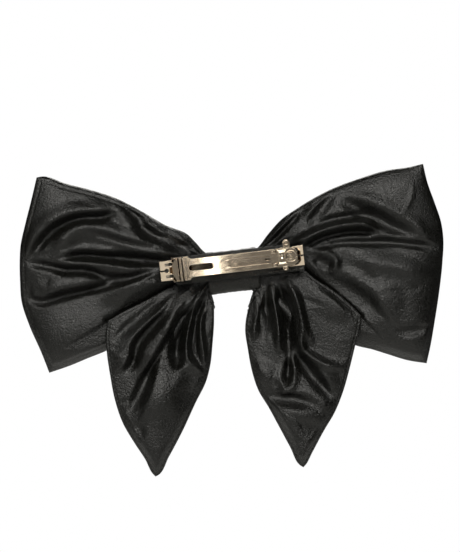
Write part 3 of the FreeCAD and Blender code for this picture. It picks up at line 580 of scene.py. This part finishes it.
def sewn_cut(
    name, edges, plane, puff, folds, facing, pleats, limits=(), allowance=None, seed=0.0, turn=0.0
):
    """One cut of a loop or tail.

    It stands puff (1 - (1 - d/swell_run)^swell_power) off the seam plane, multiplied over the three seamed
    edges at distance d from each, plus the folds, the neck pleats and the edge rolled over the seam.
    """
    flat, u, v = patch(*edges, *cut_grid)
    flat = turned_out(flat, turn)
    edges = [turned_out(np.array(edge), turn) for edge in edges[1:]]
    x, z = flat[..., 0], flat[..., 1]
    gaps = [near(flat, edge)[0] for edge in edges]
    rim = np.minimum(np.minimum(gaps[0], gaps[1]), gaps[2])
    swell = np.prod([1 - (1 - np.clip(g / swell_run, 0, 1)) ** swell_power for g in gaps], axis=0)
    roll = 1 - (1 - np.clip(rim / rolled_edge_run, 0, 1)) ** 2
    reach = np.hypot(x, z + 5)
    body = puff * swell * (0.30 + 0.70 * smooth(10, 52, reach))
    count, tall = pleats
    fan = np.cos(2 * np.pi * (count * v + 0.35 * np.sin(5.1 * v + seed) + 0.1))
    fan = np.sign(fan) * np.abs(fan) ** 0.8
    gather = tall * fan * (1 - smooth(16, 56, reach)) * smooth(3, 9, reach) * smooth(0.0, 3.0, rim)
    # Stitch pucker along the seam: one little wave to each stitch.
    pucker = 0.16 * np.exp(-rim / 2.0) * np.sin(2 * np.pi * (x + 1.3 * z) / stitch_length + seed)
    relief = eased(folded(flat, folds), 3) * smooth(0.0, 5.0, rim)
    relief += folded(flat, rumples(flat, rumple_count, int(seed * 10)), 8) * smooth(0.0, 4.0, rim)
    sway = np.sin(x / 7.3 + 1.1 * np.sin(z / 9.1 + seed))
    sway = sway * np.sin(z / 6.7 + 1.3 * np.sin(x / 11.0 + 2 * seed))
    relief += 0.22 * sway * smooth(0.0, 8.0, rim)
    lift = body + relief + gather + rolled_edge_height * roll + pucker * roll
    if allowance:
        groove, depth = allowance
        lift -= depth * np.exp(-(((rim - groove) / 0.45) ** 2)) * smooth(0.35, 0.6, u)
    depth = plane(reach) + facing * lift
    for limit in limits:
        depth = behind(depth, limit(x, z))
    points = np.stack([x, depth, z], -1)
    piece = grid_mesh(name, points)
    a = points[1, 0] - points[0, 0]
    b = points[0, 1] - points[0, 0]
    if np.cross(a, b)[1] * facing < 0:
        piece.data.flip_normals()
    wall = piece.modifiers.new("cloth_thickness", "SOLIDIFY")
    wall.thickness = 0.0008
    wall.offset = -1
    piece.data.materials.append(black_skin)
    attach(piece, "bow")
    return piece


left_loop_edges = (
    [(-4.0, -11.0), (-4.0, -5.0), (-4.0, 3.5)],
    [(-101.8, -60.9), (-106.3, -49.5), (-112.8, -34.8), (-117.3, -20.8), (-118.1, -10.2), (-118.3, 2),
     (-117.9, 9.4), (-115.3, 21.7), (-112.0, 34.8), (-108.9, 48.0)],
    [(-4.0, -11.0), (-14.0, -13.0), (-30.0, -24.0), (-50.0, -37.0), (-71.5, -49.3), (-80.1, -52.7),
     (-89.9, -56.8), (-101.8, -60.9)],
    [(-4.0, 3.5), (-10.0, 3.9), (-14.7, 6.0), (-20.8, 12.3), (-24.5, 16.0), (-37.6, 21.8), (-50.7, 29.4),
     (-65.4, 36.8), (-75.2, 40.1), (-92.4, 44.6), (-106.3, 48.5), (-108.9, 48.0)],
)
right_loop_edges = (
    [(4.0, -11.0), (4.0, -5.0), (4.0, 3.5)],
    [(108.5, -55.6), (110.6, -46.2), (113.0, -32.3), (115.5, -15.9), (117.3, 0.4), (117.8, 14.3),
     (116.7, 22.5), (113.0, 33.9), (108.9, 45.4), (106.5, 55.6)],
    [(4.0, -11.0), (14.0, -12.0), (30.0, -21.0), (50.0, -34.0), (70.1, -46.0), (77.9, -47.8),
     (86.0, -50.3), (98.3, -54.0), (108.5, -55.6)],
    [(4.0, 3.5), (9.0, 4.8), (13.7, 8.2), (20.6, 16.9), (28.0, 25.0), (36.2, 30.7), (46.8, 37.2),
     (56.6, 42.1), (69.7, 47.0), (86.0, 51.9), (99.9, 54.0), (106.5, 55.6)],
)
left_tail_edges = (
    [(-4.0, -12.5), (-4.0, -8.0), (-4.0, -3.0)],
    [(-42.3, -118.0), (-43.7, -116.6), (-48.1, -108.4), (-53.9, -99.7), (-60.7, -88.1), (-64.8, -76.4),
     (-67.8, -61.7), (-69.7, -49.1), (-70.2, -38.5), (-69.0, -31.7)],
    [(-4.0, -12.5), (-9.5, -13.2), (-12.2, -16.5), (-10.3, -23.0), (-10.0, -30.7), (-10.8, -44.3),
     (-12.3, -57.8), (-14.4, -65.7), (-20.1, -77.3), (-27.2, -92.6), (-34.9, -107.1), (-40.8, -117.2),
     (-42.3, -118.0)],
    [(-4.0, -3.0), (-14.0, -4.6), (-27.2, -9.5), (-34.9, -13.3), (-47.5, -20.1), (-59.1, -25.9),
     (-69.0, -31.7)],
)
right_tail_edges = (
    [(4.0, -12.5), (4.0, -8.0), (4.0, -3.0)],
    [(39.5, -112.9), (40.9, -111.4), (44.3, -105.1), (51.1, -92.6), (56.9, -82.9), (61.7, -71.3),
     (65.6, -57.8), (68.5, -46.2), (71.5, -34.0), (72.0, -29.0)],
    [(4.0, -12.5), (9.5, -13.5), (12.9, -18.2), (10.3, -22.5), (8.3, -28.8), (7.4, -36.5), (8.9, -48.1),
     (11.1, -59.8), (14.7, -70.7), (20.5, -80.3), (26.3, -90.9), (32.1, -101.6), (38.0, -112.0),
     (39.5, -112.9)],
    [(4.0, -3.0), (14.0, -2.5), (27.0, -2.0), (39.4, -2.9), (46.8, -8.6), (55.8, -14.3), (64.0, -20.8),
     (72.0, -29.0)],
)
left_loop_folds = [
    (3.0, 6, 3.5, [(-117.0, 3.5), (-113.5, 8.5), (-109.5, 15.0), (-102.0, 22.5), (-94.0, 26.5),
     (-84.0, 29.0), (-75.0, 29.5), (-67.0, 31.5)]),
    (-4.0, 4, 4, [(-112.0, 4.5), (-108.0, 10.0), (-100.5, 18.0), (-92.5, 23.0), (-82.5, 25.5),
     (-73.5, 26.0), (-65.5, 28.0)]),
    (4.0, 5, 6, [(-99.5, 5.0), (-96.5, 10.5), (-90.5, 16.0), (-85.0, 19.5), (-75.0, 19.5), (-63.5, 16.5),
     (-51.5, 12.5), (-39.0, 9.0), (-24.5, 6.5)]),
    (-2.0, 2.5, 2.5, [(-80.0, 18.0), (-68.5, 14.5), (-55.5, 11.0), (-39.0, 8.0)]),
    (2.0, 2.5, 2.5, [(-99.0, 3.0), (-94.0, 5.5), (-85.0, 7.5), (-75.0, 7.0), (-63.5, 6.0)]),
    (-5.0, 4, 4.5, [(-94.0, 3.0), (-84.0, 4.5), (-72.0, 4.0), (-59.5, 3.0), (-47.5, 2.0), (-35.0, 1.0)]),
    (3.0, 3.5, 4, [(-99.0, 1.0), (-85.0, 1.0), (-75.0, 0.0), (-63.5, -2.0), (-49.0, -4.0)]),
    (-3.5, 3, 3.5, [(-116.0, 1.0), (-104.5, -1.0), (-94.0, -3.5), (-81.5, -4.0), (-68.5, -8.0),
     (-59.0, -7.0)]),
    (-1.2, 2, 2, [(-117.0, 2.5), (-110.5, 4.0), (-102.0, 5.5)]),
    (3.5, 7, 4, [(-107.0, -12.5), (-104.0, -14.5), (-94.0, -12.5), (-81.5, -10.5), (-72.0, -9.0)]),
    (-3.5, 3.5, 3, [(-113.5, -12.5), (-112.5, -19.5), (-107.0, -21.5), (-96.5, -19.0), (-86.5, -16.5),
     (-72.0, -13.0), (-55.5, -8.0), (-42.5, -3.5)]),
    (3.0, 7, 8, [(-75.0, -21.0), (-68.0, -17.5), (-57.0, -13.0), (-47.5, -9.5), (-39.0, -4.5)]),
    (4.5, 24, 24, [(-98.0, -50.0), (-92.0, -47.0), (-86.0, -45.0)]),
    (-4.0, 5, 5, [(-63.5, 35.0), (-59.0, 31.5), (-53.0, 25.0), (-49.0, 19.0), (-39.0, 12.0), (-23.0, 8.0)]),
    (2.0, 6, 5, [(-65.5, 33.0), (-60.5, 26.5), (-55.5, 21.0), (-49.0, 15.0)]),
    (2.0, 4, 4, [(-51.5, 26.0), (-46.0, 21.5), (-39.0, 17.0)]),
    (1.5, 3, 3, [(-36.0, 19.5), (-27.0, 15.0), (-20.5, 9.5)]),
]
right_loop_folds = [
    (2.5, 3, 3, [(35.5, 29.0), (29.0, 22.5), (22.5, 15.0), (15.5, 9.0)]),
    (-2.5, 2.5, 2.5, [(38.5, 29.0), (33.0, 23.5), (25.5, 15.5), (20.0, 9.5)]),
    (2.5, 5, 3.5, [(54.5, 40.0), (49.5, 35.5), (45.0, 30.5), (40.5, 25.0)]),
    (-2.5, 4, 4, [(58.0, 39.0), (52.5, 34.0), (47.5, 27.5), (42.0, 21.0)]),
    (-4.0, 7, 6, [(60.0, 35.0), (66.5, 32.5), (74.5, 28.5), (84.5, 24.0), (94.0, 19.5), (105.0, 15.5)]),
    (2.5, 6, 4, [(66.5, 37.0), (74.5, 34.0), (83.5, 30.5), (93.5, 24.5), (104.0, 19.0), (112.0, 17.0)]),
    (5.5, 3.6, 4.2, [(31.5, 10.0), (42.0, 14.5), (53.5, 19.5), (65.5, 22.0), (74.5, 22.0), (81.5, 19.0)]),
    (-2.5, 4, 3, [(42.0, 18.5), (48.5, 21.5), (58.0, 24.0), (68.0, 25.5), (78.0, 25.0)]),
    (-4.5, 2.6, 3.4, [(40.5, 9.5), (48.5, 14.0), (58.0, 16.5), (69.5, 18.0), (80.5, 17.0)]),
    (1.2, 4, 3, [(84.0, 16.0), (98.5, 15.0), (110.5, 14.0), (115.0, 13.5)]),
    (-3.0, 3, 3, [(45.0, 8.5), (58.0, 11.5), (74.0, 12.0), (94.0, 11.5), (109.0, 9.5), (115.5, 8.5)]),
    (4.0, 8, 9, [(64.0, 6.0), (74.5, 2.5), (86.0, -1.5), (101.0, -4.5), (110.0, -5.5)]),
    (-1.5, 6, 6, [(66.5, -1.0), (78.0, -5.5), (90.0, -7.0), (102.5, -8.0)]),
    (2.5, 3, 3, [(45.0, 6.5), (53.5, 5.5), (58.0, 1.5), (56.0, -3.5), (52.5, -5.0)]),
    (-2.5, 3.5, 3.5, [(48.5, 1.0), (53.5, -1.0)]),
    (3.2, 12, 4.5, [(60.5, -3.0), (69.5, -8.0), (78.0, -13.5), (83.0, -20.0), (87.0, -27.5), (91.0, -33.0)]),
    (4.5, 30, 24, [(92.0, -26.0), (99.0, -36.0), (101.0, -44.0)]),
    (-2.6, 5, 11, [(47.0, -2.0), (56.5, -9.5), (68.0, -17.0), (78.0, -25.0), (84.5, -32.5)]),
    (-2.5, 3.5, 4, [(90.0, -35.0), (96.0, -37.5), (102.5, -37.0), (110.0, -35.0)]),
]
left_tail_folds = [
    (3.0, 2.6, 6, [(-33.5, -18.5), (-41.5, -27.0), (-50.5, -35.5), (-56.0, -42.5), (-57.5, -47.0),
     (-57.0, -50.5), (-59.5, -55.0), (-66.5, -60.0)]),
    (-2.2, 5, 4, [(-37.0, -18.0), (-44.5, -24.5), (-56.0, -34.5), (-65.0, -41.5)]),
    (1.6, 4, 4, [(-69.0, -47.5), (-63.0, -50.5), (-58.0, -48.5)]),
    (-3.4, 4, 4, [(-35.0, -26.5), (-43.5, -35.5), (-51.5, -45.0), (-54.5, -54.0), (-59.0, -60.5)]),
    (6.5, 3.2, 9.0, [(-19.5, -14.0), (-26.2, -24.0), (-34.7, -34.0), (-40.7, -44.0), (-45.7, -52.5),
     (-50.2, -61.5)]),
    (4.2, 15, 4.5, [(-36.5, -47.0), (-38.5, -55.0), (-40.0, -61.5), (-43.0, -71.5), (-47.0, -81.0),
     (-50.0, -88.0)]),
    (-3.5, 4.5, 4.5, [(-43.5, -55.0), (-47.0, -63.0), (-51.5, -73.0), (-56.5, -83.0)]),
    (-6.0, 5.5, 5.0, [(-23.0, -20.5), (-27.8, -31.5), (-29.8, -42.5), (-30.8, -52.5), (-30.0, -59.5)]),
    (3.8, 2.6, 4.5, [(-12.5, -13.5), (-19.0, -20.0), (-23.0, -31.5), (-25.5, -42.5), (-25.5, -50.0),
     (-24.0, -54.0), (-20.5, -57.0), (-15.5, -61.5)]),
    (2.2, 2.5, 2.5, [(-32.0, -61.0), (-28.0, -58.5), (-22.5, -57.0)]),
    (-3.2, 3.2, 3.2, [(-15.5, -20.0), (-19.8, -29.0), (-21.2, -38.5), (-21.5, -48.0), (-18.5, -55.0)]),
    (2.6, 2.5, 2.5, [(-16.5, -26.0), (-17.5, -35.5), (-16.5, -45.0), (-15.0, -54.0), (-14.5, -60.5)]),
    (-1.8, 3, 3, [(-55.0, -90.0), (-51.0, -90.5), (-50.0, -94.0), (-53.0, -97.0)]),
    (4.5, 26, 20, [(-36.0, -76.0), (-41.0, -90.0), (-42.5, -102.0)]),
    (-1.8, 8, 8, [(-24.0, -64.5), (-25.0, -73.0), (-29.0, -83.0)]),
]
right_tail_folds = [
    (1.6, 2.5, 2.5, [(14.5, -17.0), (12.0, -24.0), (10.5, -31.0)]),
    (2.2, 2.6, 2.6, [(17.5, -16.5), (15.0, -25.5), (12.5, -35.0), (12.5, -43.0)]),
    (4.2, 4.5, 3, [(21.5, -11.0), (23.0, -19.0), (25.0, -29.0), (26.0, -38.5), (25.5, -48.0)]),
    (-3.0, 4.5, 4.5, [(18.5, -15.0), (19.0, -24.0), (18.5, -32.5), (17.5, -42.5)]),
    (-6.5, 4.2, 4.8, [(26.5, -13.0), (29.0, -23.0), (30.5, -32.5), (31.5, -42.5), (32.0, -52.0)]),
    (-3.8, 2.6, 2.6, [(31.5, -52.0), (31.6, -59.0), (31.0, -66.5)]),
    (2.6, 3.5, 3.5, [(27.0, -57.0), (27.0, -65.0), (30.0, -70.0), (33.5, -66.5), (34.5, -60.0),
     (33.5, -54.0)]),
    (4.4, 3.4, 3.6, [(30.5, -9.0), (34.5, -16.5), (37.5, -26.0), (39.0, -35.5), (38.5, -45.0),
     (39.5, -49.0), (44.0, -52.0), (52.0, -56.0), (63.5, -58.0)]),
    (1.8, 3, 3, [(40.5, -32.5), (42.5, -39.5), (45.0, -46.0)]),
    (-4.0, 4.5, 4.5, [(35.0, -44.5), (40.0, -55.5), (47.5, -65.0), (54.5, -74.5)]),
    (2.4, 6, 7, [(45.5, -56.0), (52.0, -63.0), (60.0, -68.0)]),
    (3.0, 7, 9, [(12.5, -52.0), (17.0, -60.5), (25.0, -69.0)]),
    (2.2, 6, 4, [(27.0, -71.5), (36.0, -70.0), (44.5, -72.0), (50.5, -77.5), (55.5, -85.0)]),
    (-2.8, 4.5, 4.5, [(18.5, -73.0), (27.0, -75.5), (35.5, -76.5), (45.0, -79.0)]),
    (2.6, 6, 13, [(16.0, -74.0), (24.0, -78.5), (35.0, -81.0), (44.0, -83.0), (54.5, -87.0)]),
    (-1.6, 6, 6, [(34.0, -88.0), (42.0, -90.5), (51.0, -92.5)]),
    (4.0, 20, 18, [(30.0, -88.0), (37.0, -99.0), (38.5, -104.0)]),
    (2.4, 3, 9, [(43.5, -12.0), (52.0, -18.0), (62.0, -25.5), (68.0, -31.0)]),
]
# Folds of the showy side, which hangs more freely: (height, width either side, line).
left_loop_front_folds = [
    (4.0, 7, 6, [(-12, 1), (-30, 8), (-52, 18), (-74, 27), (-92, 33)]),
    (-3.5, 5, 5, [(-12, -1), (-30, 3), (-52, 9), (-74, 14), (-90, 17)]),
    (4.5, 7, 7, [(-12, -3), (-32, -1), (-54, 1), (-78, 3), (-100, 6)]),
    (-4.0, 5, 5, [(-12, -5), (-32, -7), (-52, -9), (-72, -10)]),
    (4.0, 7, 8, [(-12, -7), (-30, -14), (-50, -20), (-72, -26), (-92, -34)]),
    (-3.0, 5, 5, [(-12, -9), (-28, -18), (-46, -27), (-62, -33)]),
    (2.5, 6, 6, [(-40, 19), (-56, 27), (-72, 34)]),
]
right_loop_front_folds = [
    (4.0, 7, 6, [(12, 2), (28, 11), (50, 22), (72, 31), (94, 38)]),
    (-3.5, 5, 5, [(12, 0), (30, 6), (52, 12), (72, 18)]),
    (4.5, 7, 7, [(12, -2), (32, 1), (56, 6), (80, 8), (102, 12)]),
    (-4.0, 5, 5, [(12, -4), (32, -5), (54, -6), (78, -6)]),
    (4.0, 8, 7, [(12, -6), (30, -12), (52, -18), (74, -23), (96, -28)]),
    (-3.0, 5, 5, [(12, -8), (28, -16), (46, -25), (64, -32)]),
    (2.5, 6, 6, [(40, 24), (58, 33), (76, 40)]),
]
left_tail_front_folds = [
    (2.5, 5, 5, [(-14, -10), (-27, -22), (-40, -36), (-52, -52), (-58, -66)]),
    (-2.2, 4, 4, [(-14, -12), (-24, -26), (-34, -42), (-43, -60), (-48, -76)]),
    (2.5, 5, 5, [(-13, -14), (-21, -30), (-28, -48), (-36, -70), (-41, -92)]),
    (-2.0, 4, 4, [(-13, -18), (-17, -34), (-21, -52), (-27, -74)]),
]
right_tail_front_folds = [
    (2.5, 5, 5, [(14, -8), (30, -18), (46, -32), (58, -46)]),
    (-2.2, 4, 4, [(14, -10), (27, -22), (40, -38), (49, -54), (54, -68)]),
    (2.5, 5, 5, [(13, -12), (23, -28), (32, -48), (40, -68), (44, -86)]),
    (-2.0, 4, 4, [(13, -16), (17, -34), (22, -54), (28, -76)]),
]


def sewn_pair(side, kind, edges, plane, puffs, back_folds, front_folds, pleats, limits, allowance, seed):
    """The back cut and the front cut of one loop or tail. The seam's turn adds 1 mm round a loop."""
    turn = 0.009 if kind == "loop" else 0.0
    back_name, front_name = f"{side}_{kind}_back_cut", f"{side}_{kind}_front_cut"
    back = sewn_cut(back_name, edges, plane, puffs[0], back_folds, -1, pleats, limits, allowance, seed, turn)
    front = sewn_cut(front_name, edges, plane, puffs[1], front_folds, 1, pleats, seed=seed + 2, turn=turn)
    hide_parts(f"{side}_{kind}_back_panel")
    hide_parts(f"{side}_{kind}_front_panel")
    return back, front


left_tail_top = left_tail_edges[3][1:]
right_tail_top = right_tail_edges[3][1:]
left_loop = sewn_pair(
    "left", "loop", left_loop_edges, loop_plane, (6.5, 13.0),
    left_loop_folds, left_loop_front_folds, (5, 0.9),
    (clear_of_strip, lambda x, z: clear_of_tail(x, z, left_tail_top)), (3.0, 0.5), 0.4,
)
right_loop = sewn_pair(
    "right", "loop", right_loop_edges, loop_plane, (6.5, 13.0),
    right_loop_folds, right_loop_front_folds, (5, 0.9),
    (clear_of_strip, lambda x, z: clear_of_tail(x, z, right_tail_top)), (1.3, 0.35), 1.9,
)
left_tail = sewn_pair(
    "left", "tail", left_tail_edges, tail_plane, (3.0, 2.0), left_tail_folds, left_tail_front_folds, (3, 0.3),
    (clear_of_strip,), (1.4, 0.5), 3.1,
)
right_tail = sewn_pair(
    "right", "tail", right_tail_edges, tail_plane, (3.0, 2.0),
    right_tail_folds, right_tail_front_folds, (3, 0.3),
    (clear_of_strip,), (1.4, 0.5), 4.4,
)

# The backing strip. A double layer of the same leatherette, cut to a strip and sewn flat behind the plate,
# so that the clip has something firm to be stitched to. Its edges are turned and its lower edge is oversewn.

strip_length = 79.4
strip_thickness = 1.2
strip_face = 0.8


def soft_bar(stations, low, high, front, thickness, around, power=5.0):
    """A flat bar: a superellipse of the given power, low to high across, carried along the stations."""
    a = np.linspace(0, 2 * np.pi, around, endpoint=False)[None]
    s = stations[:, None]
    # The ends close by shrinking the section with (1 - t^p)^(1/p), like a pillow's end.
    t = np.clip(np.abs(2 * (s - s.min()) / (s.max() - s.min()) - 1), 0, 1)
    shrink = np.clip(1 - t**26, 0, 1) ** (1 / 8)
    c, d = np.cos(a), np.sin(a)
    c = np.sign(c) * np.abs(c) ** (2 / power * 0.55) * (0.92 + 0.08 * shrink)
    d = np.sign(d) * np.abs(d) ** (2 / power) * shrink
    across = (low + high) / 2 + (high - low) / 2 * c
    through = front(s, across) + thickness / 2 + thickness / 2 * d
    return s, across, through


def strip_front(s, w):
    """The strip's face against the plate: bowed as the plate is, slack by up to 0.25 mm along its edges."""
    edge = np.clip(np.abs(w + strip_offset) - 5.0, 0, None) / 2.7
    return strip_face - plate_sag(s) + 0.12 * edge * np.sin(s / 2.1 + 0.8 * np.sign(w)) - 0.25 * edge**2


# The strip narrows to the plate's width at both ends.
stations = np.linspace(-strip_length / 2, strip_length / 2, 260)
left_end = 1 - smooth(-36, -30, stations[:, None])
right_end = smooth(30, 36, stations[:, None])
strip_low, strip_high = -8.4 + 3.4 * left_end, 7.0 - 2.0 * left_end - 2.0 * right_end
s, w, y = soft_bar(stations, strip_low, strip_high, strip_front, strip_thickness, 96)
strip = outward(grid_mesh("backing_strip_cover", tilted(s + 0 * w, y, w), wrap_columns=True, caps=True))
strip_skin = leatherette("black_pu_strip", "#060604", "#15150f", 0.40, 0.30)
strip.data.materials.append(strip_skin)
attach(strip, "bow")
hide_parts("backing_strip")

# The centre band. A strip of leatherette folded in three, wrapped round the gathers and hand sewn behind.
# It pulls in slightly at its waist, with drag lines running round it where it is tight.

band_half_length = 14.5
band_low, band_high = -16.0, 7.5
band_front, band_back = 2.0, 16.6


def rounded_box(a, half_w, half_y, corner):
    """Unit direction a to a rounded rectangle: the superellipse whose power gives that corner."""
    power = 2.0 / (1.0 - math.log2(1.0 + corner / min(half_w, half_y)) * 0.72)
    c, s = np.cos(a), np.sin(a)
    r = (np.abs(c) ** power + np.abs(s) ** power) ** (-1 / power)
    return half_w * r * c, half_y * r * s


a = np.linspace(0, 2 * np.pi, 180, endpoint=False)[None]
t = np.linspace(-1, 1, 90)[:, None]
w, y = rounded_box(a, (band_high - band_low) / 2, (band_back - band_front) / 2, 4.5)
waist = 1 - 0.035 * (1 - t**2)
drag = 0.10 * np.sin(2 * np.pi * (t * 2.3 + 0.25 * np.sin(2 * a + 1.0))) * (0.6 + 0.4 * np.sin(3 * a + 2.0))
drag += 0.05 * np.sin(2 * np.pi * (t * 5.1 + 0.4 * np.sin(a * 2 + 0.3)))
edge_roll = 0.8 * smooth(0.88, 1.0, np.abs(t)) ** 2
pull = 1 - (edge_roll - drag - 0.35) / 11.0
w = (band_low + band_high) / 2 + w * waist * pull
y = (band_front + band_back) / 2 + y * (waist * 0.3 + 0.7) * pull
# The back face stays flat under the strip.
y = np.maximum(y, band_front + 0.05)
along = band_half_length * t * (1 + 0.012 * np.sin(3 * a + 0.7) + 0.008 * np.sin(7 * a))
band = grid_mesh("centre_band_wrap", tilted(along, y, w), wrap_columns=True)
outward(band)
wall = band.modifiers.new("cloth_thickness", "SOLIDIFY")
wall.thickness = 0.0012
wall.offset = -1
band_skin = leatherette("black_pu_band", "#060604", "#15150f", 0.38, 0.35)
band.data.materials.append(band_skin)
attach(band, "bow")
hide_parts("center_band")

# The gathered core. The necks of the loops and tails are drawn together in the band and bound with thread.
# It is a pleated plug, drawn in where the thread goes round it.

a = np.linspace(0, 2 * np.pi, 140, endpoint=False)[None]
t = np.linspace(-1, 1, 40)[:, None]
low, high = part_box("gathered_core")
half_x, half_y, half_z = [(high[i] - low[i]) * 500 for i in range(3)]
mid_x, mid_y, mid_z = [(high[i] + low[i]) * 500 for i in range(3)]
pleat = 1 - 0.07 * (1 - np.abs(np.cos(9 * a + 0.6 * np.sin(2 * a))))
end = np.clip(1 - t**10, 0, 1) ** 0.3
drawn = 1 - 0.10 * np.exp(-((t / 0.35) ** 2))
core = grid_mesh(
    "bound_gathers",
    np.stack(
        np.broadcast_arrays(
            mid_x + half_x * t + 0 * a,
            mid_y + half_y * 0.97 * np.sin(a) * pleat * end * drawn,
            mid_z + half_z * 0.97 * np.cos(a) * pleat * end * drawn,
        ),
        -1,
    ),
    wrap_columns=True,
    caps=True,
)
outward(core)
core.data.materials.append(black_skin)
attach(core, "bow")
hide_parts("gathered_core")

# The thread. Black bonded polyester: hand stitches along the strip's lower edge, two turns through each of
# the plate's four holes, and the winding round the gathers.


def bonded_thread(name, shade, pale):
    """Twisted thread: slanting ply lines as colour and bump, with a waxy low sheen."""
    m, tree = material(name)
    at = add(tree, "ShaderNodeTexCoord")
    turn = add(tree, "ShaderNodeMapping", Vector=at.outputs["Object"], Rotation=(0, 0.7, 0))
    # Plies are 0.2 mm apart. They are drawn at 0.5 mm, because finer ones don't show.
    ply = add(tree, "ShaderNodeTexWave", Vector=turn.outputs[0], Scale=330.0, Distortion=1.0)
    colour = add(
        tree, "ShaderNodeMix", {"data_type": "RGBA"}, _0=ply.outputs[1], _6=linear(shade), _7=linear(pale)
    )
    bump = add(tree, "ShaderNodeBump", Strength=0.6, Distance=0.0001, Height=ply.outputs[1])
    fibre = add(
        tree, "ShaderNodeBsdfPrincipled", Base_Color=colour.outputs[2], Roughness=0.5, Normal=bump.outputs[0]
    )
    add(tree, "ShaderNodeOutputMaterial", Surface=fibre.outputs[0])
    return m


black_thread = bonded_thread("black_bonded_thread", "#2c2b27", "#4a4842")


def thread_run(points, radius, steps=28):
    """A round thread along a smooth line, its radius closed at both ends by sqrt(1 - t^8)."""
    t = np.linspace(0, 1, steps)
    p = curve(points, t)
    d = np.gradient(p, axis=0)
    d /= np.linalg.norm(d, axis=1, keepdims=True)
    side = np.cross(d, [0.05, 1.0, 0.03])
    side /= np.linalg.norm(side, axis=1, keepdims=True)
    other = np.cross(d, side)
    a = np.linspace(0, 2 * np.pi, 10, endpoint=False)[None, :, None]
    r = radius * np.clip(1 - np.abs(2 * t - 1) ** 8, 0.02, 1)[:, None, None] ** 0.5
    return p[:, None] + r * (np.cos(a) * side[:, None] + np.sin(a) * other[:, None])


thread_radius = 0.3
first_stitch, stitch_pitch, stitch_count = 19.7, 3.3, 6
# Each thread's line: along, away from the head, and across, in millimetres from where it starts.
over_and_down = np.array(
    [[0, 0.35, 0], [0.4, -0.25, 0.05], [1.3, -0.42, 0.1], [2.2, -0.25, 0], [2.6, 0.35, -0.05]]
)
stitch_row = -7.3
hand_stitches = []
for i in range(stitch_count):
    s, y, w = (over_and_down + [first_stitch + stitch_pitch * i, 0, stitch_row]).T
    hand_stitches.append(thread_run(tilted(s, strip_face - plate_sag(s) + y, w), thread_radius))
stitches = outward(grid_mesh("hand_stitches", *hand_stitches, wrap_columns=True, caps=True))
stitches.data.materials.append(black_thread)
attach(stitches, "bow")
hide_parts("backing_stitches")

# Two turns of thread pass each hole side by side, and run out towards the middle or the end of the plate.
turn_shift = 0.28
run_out = 1.6
through_and_out = np.array(
    [[0, 1.2, 1], [0.05, -0.2, 1], [0.5, -0.75, 1.2], [1.5, -0.55, 1.6], [2.1, 0.4, 1.6]]
)
hole_threads = []
for hole_s, hole_w in sewing_holes:
    for shift in (-turn_shift, turn_shift):
        s, y, w = (through_and_out * [math.copysign(run_out, hole_s), 1, shift] + [hole_s, 0, hole_w]).T
        hole_threads.append(thread_run(tilted(s, y - plate_sag(s), w), thread_radius))
knots = outward(grid_mesh("plate_threads", *hole_threads, wrap_columns=True, caps=True))
knots.data.materials.append(black_thread)
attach(knots, "bow")
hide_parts("plate_stitches")

turns = 5
wind_radius = 0.35
t = np.linspace(0, 1, 40 * turns)
wind = np.stack(
    [
        -1.6 + 3.2 * t,
        mid_y + (half_y * 0.90 + 0.25) * np.sin(2 * np.pi * turns * t),
        mid_z + (half_z * 0.90 + 0.25) * np.cos(2 * np.pi * turns * t),
    ],
    -1,
)
winding = thread_run(wind, wind_radius, steps=40 * turns)
binding = outward(grid_mesh("core_winding", winding, wrap_columns=True, caps=True))
binding.data.materials.append(black_thread)
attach(binding, "bow")
